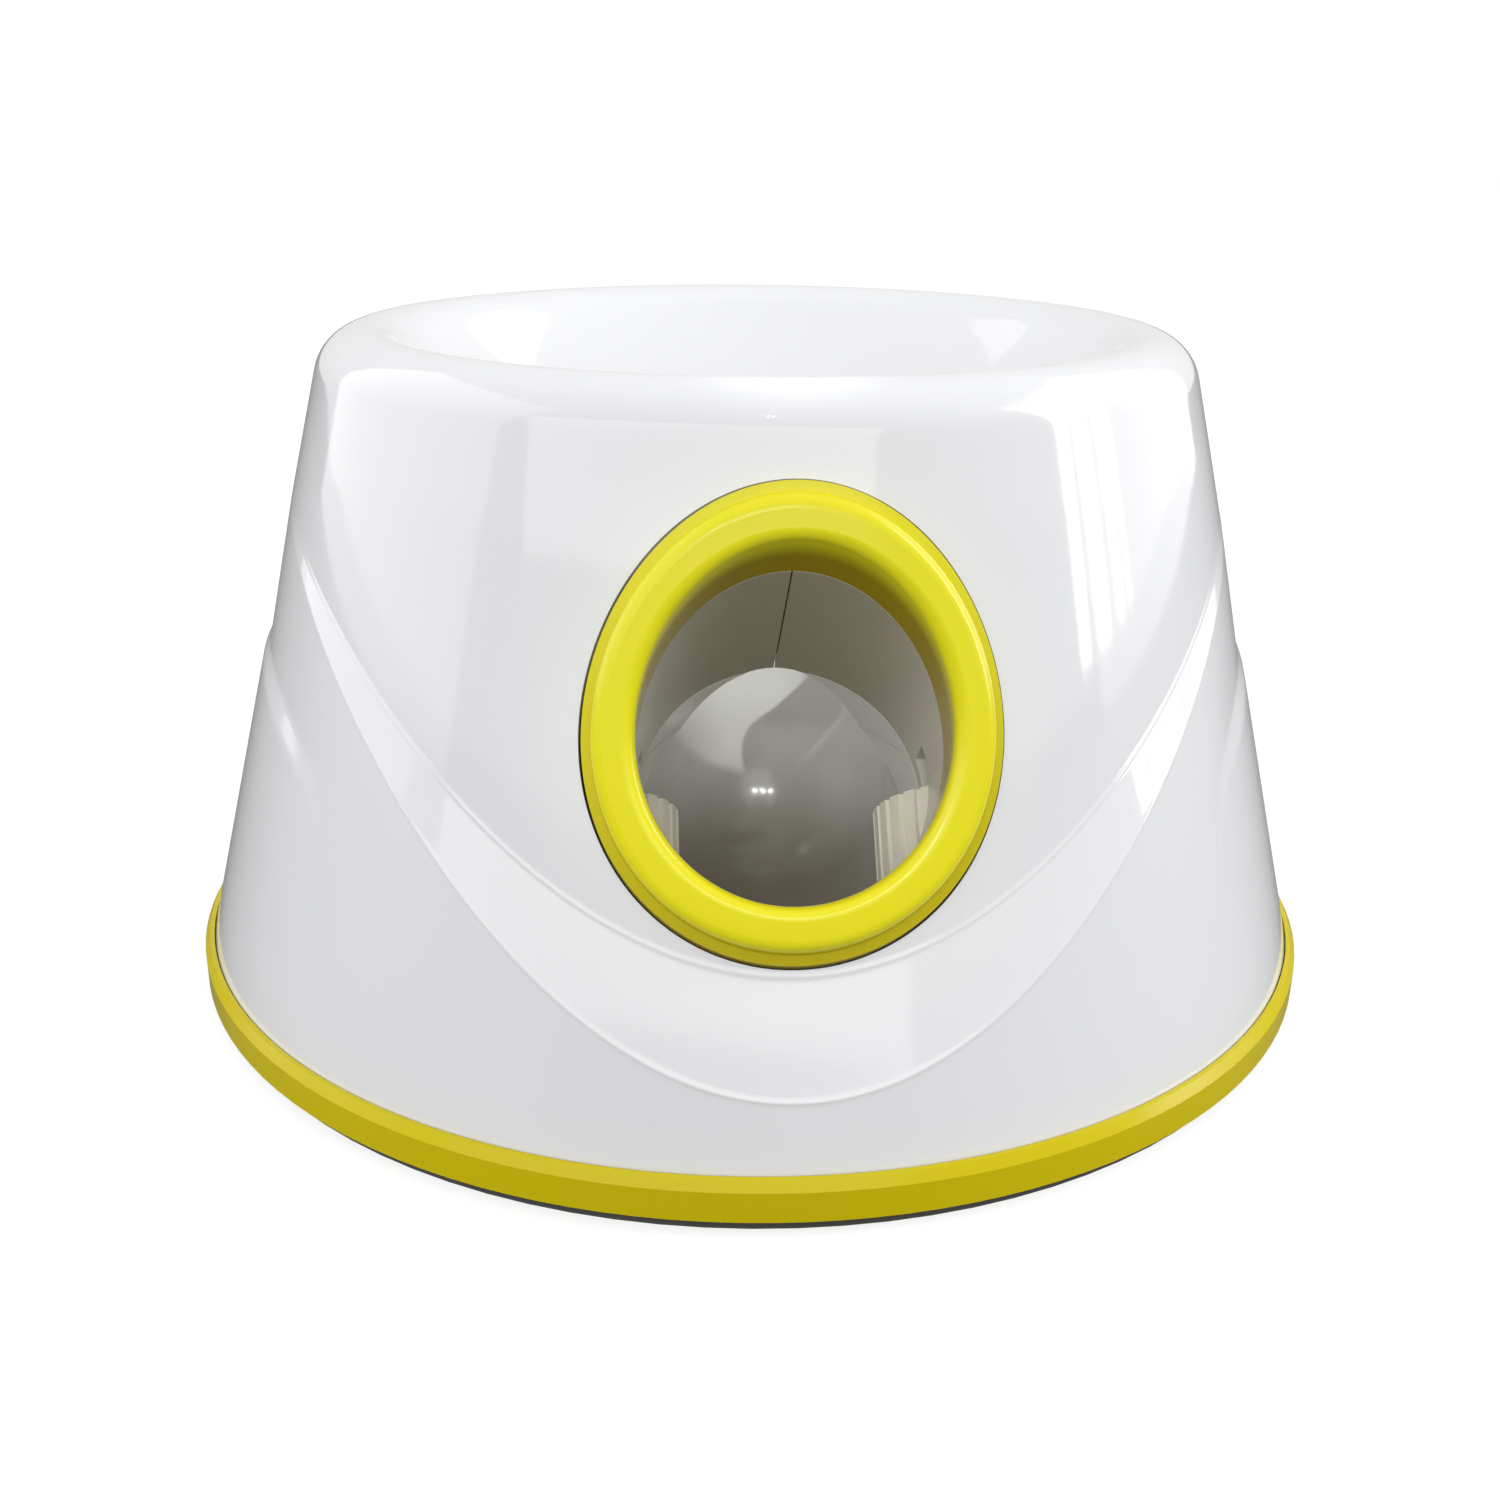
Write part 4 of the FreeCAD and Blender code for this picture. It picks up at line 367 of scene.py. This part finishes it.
def cabinet_shell():
    """The shell with its wall, the port's hole and seat, and the rear panel's and inlet's holes."""
    shell = outer_skin()
    wall = shell.modifiers.new("wall", "SOLIDIFY")
    wall.thickness = WALL * MM
    wall.offset = -1.0
    panel_half = (PANEL_WIDTH - PANEL_TALL) / 2
    tools = [port_plug(),
             rear_bar("panel_bar", PANEL_HEIGHT, panel_half, PANEL_TALL / 2 + GAP),
             rear_bar("inlet_bar", INLET_HEIGHT, 0.0, INLET_RADIUS + GAP)]
    for tool in tools:
        outward_faces(tool)
        cut_with(shell, tool)
    apply_modifiers(shell)
    for tool in tools:
        bpy.data.objects.remove(tool)
    shell.data.set_sharp_from_angle(angle=SHELL_SHARP)
    return shell


# ---------------------------------------------------------------- materials
# scale and detail of each noise, and the part of a noise's range that a ramp spreads
FLOW_NOISE = (9.0, 3.0)
DUST_NOISE = (160.0, 6.0)
PAPER_NOISE = (3.0, 2.0)
FINE_DETAIL = 2.0
NOISE_LOW = 0.3
NOISE_HIGH = 0.7
DUST_RANGE = (0.94, 1.08)
BUMP_DEPTH = 0.0002
COAT_ROUGHNESS = 0.05
YELLOW = (0.75, 0.69, 0.010)
# painted shade: axis (None is square to the wall), two levels in metres and the tint below the
# first one
FOOT_SHADE = ((0, 0, 1), 0.010, 0.024, (0.82, 0.73, 0.25))
BARREL_SHADE = (-UP, -0.030, -0.002, (0.66, 0.64, 0.56))
ELBOW_SHADE = ((0, 0, 1), 0.022, 0.070, (0.20, 0.18, 0.14))
BEZEL_SHADE = (None, 0.1375, 0.1435, (0.50, 0.40, 0.05))
FACE_NORMAL = Vector((0, -math.cos(WALL_SLOPE), math.sin(WALL_SLOPE)))
# painted shade: a dark line in the groove round the bezel and a little past the groove's upper edge
SEAM_SHADE_FADE = 0.06
SEAM_SHADE_DEEP = 120.0
SEAM_SHADE_DEEP_FADE = 1.0
SEAM_SHADE_LIFT = 0.55
SEAM_SHADE_SPREAD = 0.2
SEAM_SHADE_TINT = (0.10, 0.08, 0.05)


def new_material(name):
    material = bpy.data.materials.new(name)
    material.use_nodes = True
    nodes = material.node_tree.nodes
    return material, nodes, material.node_tree.links, nodes["Principled BSDF"]


def object_noise(nodes, links, scale, detail):
    """Noise in the object's own coordinates."""
    where = nodes.new("ShaderNodeTexCoord")
    noise = nodes.new("ShaderNodeTexNoise")
    noise.inputs["Scale"].default_value = scale
    noise.inputs["Detail"].default_value = detail
    links.new(where.outputs["Object"], noise.inputs["Vector"])
    return noise


def ramp(nodes, links, source, low, high, start=NOISE_LOW, end=NOISE_HIGH):
    """Map a 0 to 1 value to a range of grey or colour."""
    item = nodes.new("ShaderNodeValToRGB")
    item.color_ramp.elements[0].position = start
    item.color_ramp.elements[1].position = end
    item.color_ramp.elements[0].color = low if len(low) == 4 else (*low, 1)
    item.color_ramp.elements[1].color = high if len(high) == 4 else (*high, 1)
    links.new(source, item.inputs["Fac"])
    return item


def level_along(nodes, links, axis, low, high):
    """0 below and 1 above two levels in metres, measured along an axis of the object."""
    where = nodes.new("ShaderNodeTexCoord")
    along_axis = nodes.new("ShaderNodeVectorMath")
    along_axis.operation = "DOT_PRODUCT"
    along_axis.inputs[1].default_value = axis
    links.new(where.outputs["Object"], along_axis.inputs[0])
    return smooth_range(nodes, links, along_axis.outputs["Value"], low, high)


def smooth_range(nodes, links, value, low, high):
    """0 below and 1 above two values, with a smooth step between them."""
    level = nodes.new("ShaderNodeMapRange")
    level.interpolation_type = "SMOOTHSTEP"
    level.inputs["From Min"].default_value = low
    level.inputs["From Max"].default_value = high
    links.new(value, level.inputs["Value"])
    return level.outputs["Result"]


def tinted(nodes, links, colour, level, tint):
    """Multiply a colour by a tint where a level is 0 and leave it alone where it is 1."""
    mixed = nodes.new("ShaderNodeMix")
    mixed.data_type = "RGBA"
    mixed.blend_type = "MULTIPLY"
    mixed.inputs["Factor"].default_value = 1.0
    links.new(colour, mixed.inputs["A"])
    shade = ramp(nodes, links, level, tint, (1.0, 1.0, 1.0), 0.0, 1.0)
    links.new(shade.outputs["Color"], mixed.inputs["B"])
    return mixed.outputs["Result"]


def level_off_wall(nodes, links, low, high):
    """0 below and 1 above two distances in metres, measured square to the cone wall."""
    where = nodes.new("ShaderNodeTexCoord")
    flat = nodes.new("ShaderNodeVectorMath")
    flat.operation = "MULTIPLY"
    flat.inputs[1].default_value = (1.0, 1.0, 0.0)
    links.new(where.outputs["Object"], flat.inputs[0])
    radius = nodes.new("ShaderNodeVectorMath")
    radius.operation = "LENGTH"
    links.new(flat.outputs["Vector"], radius.inputs[0])
    outward = nodes.new("ShaderNodeMath")
    outward.operation = "MULTIPLY"
    outward.inputs[1].default_value = math.cos(WALL_SLOPE)
    links.new(radius.outputs["Value"], outward.inputs[0])
    parts = nodes.new("ShaderNodeSeparateXYZ")
    links.new(where.outputs["Object"], parts.inputs["Vector"])
    both = nodes.new("ShaderNodeMath")
    both.operation = "MULTIPLY_ADD"
    both.inputs[1].default_value = math.sin(WALL_SLOPE)
    links.new(parts.outputs["Z"], both.inputs[0])
    links.new(outward.outputs["Value"], both.inputs[2])
    return smooth_range(nodes, links, both.outputs["Value"], low, high)


def paint_shade(nodes, links, colour, axis, low, high, tint):
    """Darken a colour below a level, for the shade the photograph shows there."""
    if axis:
        level = level_along(nodes, links, axis, low, high)
    else:
        level = level_off_wall(nodes, links, low, high)
    return tinted(nodes, links, colour, level, tint)


def seam_painted_shade(nodes, links, colour):
    """Painted shade: a dark line in the groove around the bezel and a little past the groove's
    upper edge.
    """
    where = nodes.new("ShaderNodeTexCoord")
    offset = nodes.new("ShaderNodeVectorMath")
    offset.operation = "SUBTRACT"
    offset.inputs[1].default_value = (PORT + UP * SEAM_SHADE_LIFT) * MM
    links.new(where.outputs["Object"], offset.inputs[0])
    across = nodes.new("ShaderNodeVectorMath")
    across.operation = "CROSS_PRODUCT"
    across.inputs[1].default_value = OUT
    links.new(offset.outputs["Vector"], across.inputs[0])
    length = nodes.new("ShaderNodeVectorMath")
    length.operation = "LENGTH"
    links.new(across.outputs["Vector"], length.inputs[0])
    edge = (BEZEL_RADIUS + BEZEL_GAP + SEAM_SHADE_SPREAD) * MM
    fade = SEAM_SHADE_FADE * MM
    outside = smooth_range(nodes, links, length.outputs["Value"], edge - fade, edge + fade)
    behind = level_along(nodes, links, -FACE_NORMAL, -SEAM_SHADE_DEEP * MM,
                         (SEAM_SHADE_DEEP_FADE - SEAM_SHADE_DEEP) * MM)
    either = nodes.new("ShaderNodeMath")
    either.operation = "MAXIMUM"
    links.new(outside, either.inputs[0])
    links.new(behind, either.inputs[1])
    return tinted(nodes, links, colour, either.outputs["Value"], SEAM_SHADE_TINT)


def moulded(name, colour, roughness=0.2, vary=0.02, bump=0.02, scale=900.0, coat=0.0, shade_paint=None,
            specular=0.5, seam_shade=False):
    """Moulded plastic: faint flow in the colour, fine waviness, dust in the gloss, and where asked
    painted shade and a painted dark line round the bezel.
    """
    material, nodes, links, shader = new_material(name)
    flow = object_noise(nodes, links, *FLOW_NOISE)
    low = tuple(max(value * (1 - vary), 0.0) for value in colour)
    high = tuple(min(value * (1 + vary), 1.0) for value in colour)
    shade = ramp(nodes, links, flow.outputs["Fac"], low, high).outputs["Color"]
    if shade_paint:
        shade = paint_shade(nodes, links, shade, *shade_paint)
    if seam_shade:
        shade = seam_painted_shade(nodes, links, shade)
    links.new(shade, shader.inputs["Base Color"])
    dust = object_noise(nodes, links, *DUST_NOISE)
    grey_low = (roughness * DUST_RANGE[0],) * 3
    grey_high = (roughness * DUST_RANGE[1],) * 3
    links.new(ramp(nodes, links, dust.outputs["Fac"], grey_low, grey_high).outputs["Color"],
              shader.inputs["Roughness"])
    fine = object_noise(nodes, links, scale, FINE_DETAIL)
    bumps = nodes.new("ShaderNodeBump")
    bumps.inputs["Strength"].default_value = bump
    bumps.inputs["Distance"].default_value = BUMP_DEPTH
    links.new(fine.outputs["Fac"], bumps.inputs["Height"])
    links.new(bumps.outputs["Normal"], shader.inputs["Normal"])
    shader.inputs["Specular IOR Level"].default_value = specular
    shader.inputs["Coat Weight"].default_value = coat
    shader.inputs["Coat Roughness"].default_value = COAT_ROUGHNESS
    return material


def brushed(name, colour, roughness):
    """Plain metal with a fine grain."""
    material = moulded(name, colour, roughness, 0.05, 0.05, 1500.0)
    material.node_tree.nodes["Principled BSDF"].inputs["Metallic"].default_value = 1.0
    return material


# the yellow, cream and grey carry painted shade, and the white a painted dark line round the bezel
MATERIALS = {
    "white_abs": moulded("white_abs", (0.775, 0.78, 0.795), 0.08, 0.006, 0.01, 700.0, 0.3,
                         seam_shade=True),
    "yellow_abs": moulded("yellow_abs", YELLOW, 0.20, 0.012, 0.015, shade_paint=FOOT_SHADE,
                          specular=0.18),
    "cream_abs": moulded("cream_abs", (0.64, 0.62, 0.54), 0.24, 0.015, 0.01,
                         shade_paint=BARREL_SHADE),
    "grey_abs": moulded("grey_abs", (0.88, 0.88, 0.86), 0.14, 0.015, 0.01, 700.0,
                        shade_paint=ELBOW_SHADE),
    "dark_grey_abs": moulded("dark_grey_abs", (0.035, 0.036, 0.038), 0.42, 0.05, 0.35, 2200.0),
    "yellow_acetal": moulded("yellow_acetal", (0.66, 0.60, 0.05), 0.4, 0.02, 0.05),
    "cream_rubber": moulded("cream_rubber", (0.74, 0.71, 0.60), 0.6, 0.03, 0.25, 1600.0),
    "dark_nylon": moulded("dark_nylon", (0.02, 0.02, 0.02), 0.4, 0.05, 0.1),
    "steel": brushed("steel", (0.62, 0.62, 0.62), 0.25),
    "motor_can": brushed("motor_can", (0.60, 0.60, 0.58), 0.3),
    "black_housing": moulded("black_housing", (0.012, 0.012, 0.012), 0.4, 0.05, 0.1),
    "cell_jacket": moulded("cell_jacket", (0.05, 0.055, 0.065), 0.25, 0.05, 0.05),
    "circuit_board": moulded("circuit_board", (0.01, 0.09, 0.03), 0.3, 0.1, 0.1, 400.0),
    "light_pipe": moulded("light_pipe", (0.60, 0.75, 0.55), 0.15, 0.02, 0.02),
    "black_rubber": moulded("black_rubber", (0.012, 0.012, 0.012), 0.7, 0.1, 0.4, 1800.0),
}
PORT_YELLOW_SHADED = moulded("port_yellow_shaded", YELLOW, 0.20, 0.012, 0.015, shade_paint=BEZEL_SHADE, specular=0.36)


def dress_nodes():
    """Give every CAD node the material of its slot; the bezel has its own yellow, with painted
    shade in its bore.
    """
    slots = {entry["node"]: entry["material_slot"] for entry in frame["record"]["subparts"]}
    for name, item in frame["nodes"].items():
        item.data.materials.clear()
        item.data.materials.append(PORT_YELLOW_SHADED if name == "port_bezel" else MATERIALS[slots[name]])
        item.data.polygons.foreach_set("use_smooth", [True] * len(item.data.polygons))
        item.data.set_sharp_from_angle(angle=NODE_SHARP)


dress_nodes()
shell = cabinet_shell()
shell.data.materials.clear()
shell.data.materials.append(MATERIALS["white_abs"])
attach(shell, "cabinet")
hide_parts("outer_shell")


# ---------------------------------------------------------------- floor, light and camera
FLOOR_COUNT = 96
# the first ring lies under the foot ring's edge, and the paper inside it has no glow, a darker
# patch that stands in for the shade under the base
FLOOR_RADII = (142.2, 400.0, 1200.0, 9000.0)
FLOOR_DROP = 0.1
FLOOR_GLOW = 0.78
PAPER_LOW = (0.29, 0.29, 0.29)
PAPER_HIGH = (0.31, 0.31, 0.31)
PAPER_ROUGH = 0.9
BOUNCE = (0.18, 0.18, 0.18, 1)
AIR = 0.77
AIR_BEHIND = 1.02
LIGHT_AIM = Vector((0, 0, 0.09))
# name, azimuth, elevation, distance, size and radiance
SOFT_BOXES = (
    ("front_fill", -18.0, 24.0, 1.8, (3.0, 0.9), 1.4),
    ("left_panel", -100.0, 20.0, 2.0, (2.4, 2.2), 1.0),
    ("right_panel", 104.0, 20.0, 2.0, (2.2, 2.2), 1.15),
)
# azimuth and width of each pane of the window that the wall's right side mirrors
WINDOW_PANES = ((73.0, 0.10), (79.0, 0.13), (85.0, 0.07), (88.5, 0.035))
WINDOW_RISE = 21.0
WINDOW_DISTANCE = 1.6
WINDOW_TALL = 1.2
WINDOW_RADIANCE = 6.0
LAMP_DISTANCE = 1.0
LAMP_BLEND = 0.6
PORT_LAMP_AZIMUTHS = (-24.0, -15.0, -6.0, 3.0)
PORT_LAMP_REACH = 30.0
# elevation, spread, power and radius
PORT_LAMP = (30.0, 3.4, 6.5, 0.035)
HOPPER_LAMP = (54.0, 2.6, 24.0, 0.012)


def studio_floor():
    """A pale paper floor that glows for the camera only; on the object it is a dim bounce."""
    turns = [2 * math.pi * index / FLOOR_COUNT for index in range(FLOOR_COUNT)]
    rings = [[(radius * math.sin(turn), radius * math.cos(turn), 0.0) for turn in turns]
             for radius in FLOOR_RADII]
    points, faces = ring_grid(rings)
    faces.append(tuple(range(FLOOR_COUNT)))
    floor = mesh_object("studio_floor", points, faces, False)
    under = len(faces) - 1
    outward_faces(floor)
    floor.location.z = -FLOOR_DROP * MM
    material, nodes, links, shader = new_material("studio_paper")
    paper = object_noise(nodes, links, *PAPER_NOISE)
    shade = ramp(nodes, links, paper.outputs["Fac"], PAPER_LOW, PAPER_HIGH)
    links.new(shade.outputs["Color"], shader.inputs["Base Color"])
    shader.inputs["Roughness"].default_value = PAPER_ROUGH
    shader.inputs["Specular IOR Level"].default_value = 0.0
    glow = nodes.new("ShaderNodeEmission")
    glow.inputs["Strength"].default_value = FLOOR_GLOW
    both = nodes.new("ShaderNodeAddShader")
    links.new(shader.outputs["BSDF"], both.inputs[0])
    links.new(glow.outputs["Emission"], both.inputs[1])
    seen = nodes.new("ShaderNodeLightPath")
    choice = nodes.new("ShaderNodeMixShader")
    bounce = nodes.new("ShaderNodeBsdfDiffuse")
    bounce.inputs["Color"].default_value = BOUNCE
    links.new(seen.outputs["Is Camera Ray"], choice.inputs["Fac"])
    links.new(bounce.outputs["BSDF"], choice.inputs[1])
    links.new(both.outputs["Shader"], choice.inputs[2])
    links.new(choice.outputs["Shader"], nodes["Material Output"].inputs["Surface"])
    floor.data.materials.append(material)
    # under the foot ring the paper has no glow: a darker patch put there for the shade under the
    # base
    hidden, _, _, hidden_shader = new_material("studio_paper_under")
    hidden_shader.inputs["Base Color"].default_value = BOUNCE
    hidden_shader.inputs["Roughness"].default_value = PAPER_ROUGH
    floor.data.materials.append(hidden)
    floor.data.polygons[under].material_index = 1


def studio_air():
    """White air behind the object, and an even grey fill that lights it."""
    world = bpy.data.worlds.new("studio_air")
    bpy.context.scene.world = world
    world.use_nodes = True
    nodes = world.node_tree.nodes
    links = world.node_tree.links
    fill = nodes["Background"]
    fill.inputs["Color"].default_value = (1.0, 1.0, 1.0, 1)
    fill.inputs["Strength"].default_value = AIR
    back = nodes.new("ShaderNodeBackground")
    back.inputs["Color"].default_value = (1.0, 1.0, 0.99, 1)
    back.inputs["Strength"].default_value = AIR_BEHIND
    seen = nodes.new("ShaderNodeLightPath")
    choice = nodes.new("ShaderNodeMixShader")
    links.new(seen.outputs["Is Camera Ray"], choice.inputs["Fac"])
    links.new(fill.outputs["Background"], choice.inputs[1])
    links.new(back.outputs["Background"], choice.inputs[2])
    links.new(choice.outputs["Shader"], nodes["World Output"].inputs["Surface"])


def towards(azimuth, elevation):
    """A direction from the object, seen from its front and up from the floor."""
    side = math.radians(azimuth)
    rise = math.radians(elevation)
    flat = math.cos(rise)
    return Vector((math.sin(side) * flat, -math.cos(side) * flat, math.sin(rise)))


def soft_box(name, azimuth, elevation, distance, size, radiance):
    """A rectangular soft light that faces the object."""
    back = towards(azimuth, elevation)
    data = bpy.data.lights.new(name, "AREA")
    data.shape = "RECTANGLE"
    data.size, data.size_y = size
    data.energy = radiance * math.pi * size[0] * size[1]
    item = bpy.data.objects.new(name, data)
    item.location = LIGHT_AIM + back * distance
    item.rotation_euler = back.to_track_quat("Z", "Y").to_euler()
    bpy.context.scene.collection.objects.link(item)


def narrow_lamp(name, target, azimuth, elevation, spread, power, radius):
    """A narrow, rather hard lamp that shines at a point of the object only."""
    back = towards(azimuth, elevation)
    data = bpy.data.lights.new(name, "SPOT")
    data.energy = power
    data.spot_size = math.radians(spread)
    data.spot_blend = LAMP_BLEND
    data.shadow_soft_size = radius
    item = bpy.data.objects.new(name, data)
    item.location = target * MM + back * LAMP_DISTANCE
    item.rotation_euler = back.to_track_quat("Z", "Y").to_euler()
    bpy.context.scene.collection.objects.link(item)


def studio():
    """The floor, the air and every light, with the colours shown as they are."""
    studio_floor()
    studio_air()
    for box in SOFT_BOXES:
        soft_box(*box)
    for azimuth in PORT_LAMP_AZIMUTHS:
        narrow_lamp("port_lamp_%d" % azimuth, PORT - OUT * PORT_LAMP_REACH, azimuth, *PORT_LAMP)
    hole = Vector((0, -HOLE_OFFSET, HOPPER_LOW))
    narrow_lamp("hopper_lamp", hole, 0.0, *HOPPER_LAMP)
    for azimuth, width in WINDOW_PANES:
        soft_box("window_%d" % azimuth, azimuth, WINDOW_RISE, WINDOW_DISTANCE,
                 (width, WINDOW_TALL), WINDOW_RADIANCE)
    view = bpy.context.scene.view_settings
    view.view_transform = "Standard"
    view.look = "None"


PORT_TURN = math.radians(4.1)
CAMERA_DISTANCE = 415.7
CAMERA_HEIGHT = 207.4
CAMERA_RIGHT = (0.99993, 0.0054, 0.0105)
CAMERA_UP = (-0.0117, 0.3577, 0.9338)
FOCAL_PIXELS = 1645.66
SENSOR = 36.0
CLIP_START = 0.01


def turned_back(vector):
    """A direction of the picture's frame in the object's own frame."""
    return Matrix.Rotation(-PORT_TURN, 3, "Z") @ Vector(vector)


def camera():
    """The photograph's camera, moved round so that the object's port faces the front."""
    data = bpy.data.cameras.new("camera")
    data.sensor_fit = "HORIZONTAL"
    data.sensor_width = SENSOR
    data.lens = SENSOR * FOCAL_PIXELS / IMAGE
    data.clip_start = CLIP_START
    item = bpy.data.objects.new("camera", data)
    bpy.context.scene.collection.objects.link(item)
    right = turned_back(CAMERA_RIGHT).normalized()
    up = turned_back(CAMERA_UP).normalized()
    back = right.cross(up).normalized()
    up = back.cross(right)
    place = turned_back((0, -CAMERA_DISTANCE, 0))
    place.z = CAMERA_HEIGHT
    matrix = Matrix((right, up, back)).transposed().to_4x4()
    matrix.translation = place * MM
    item.matrix_world = matrix
    bpy.context.scene.camera = item


studio()
camera()
bpy.context.view_layer.update()
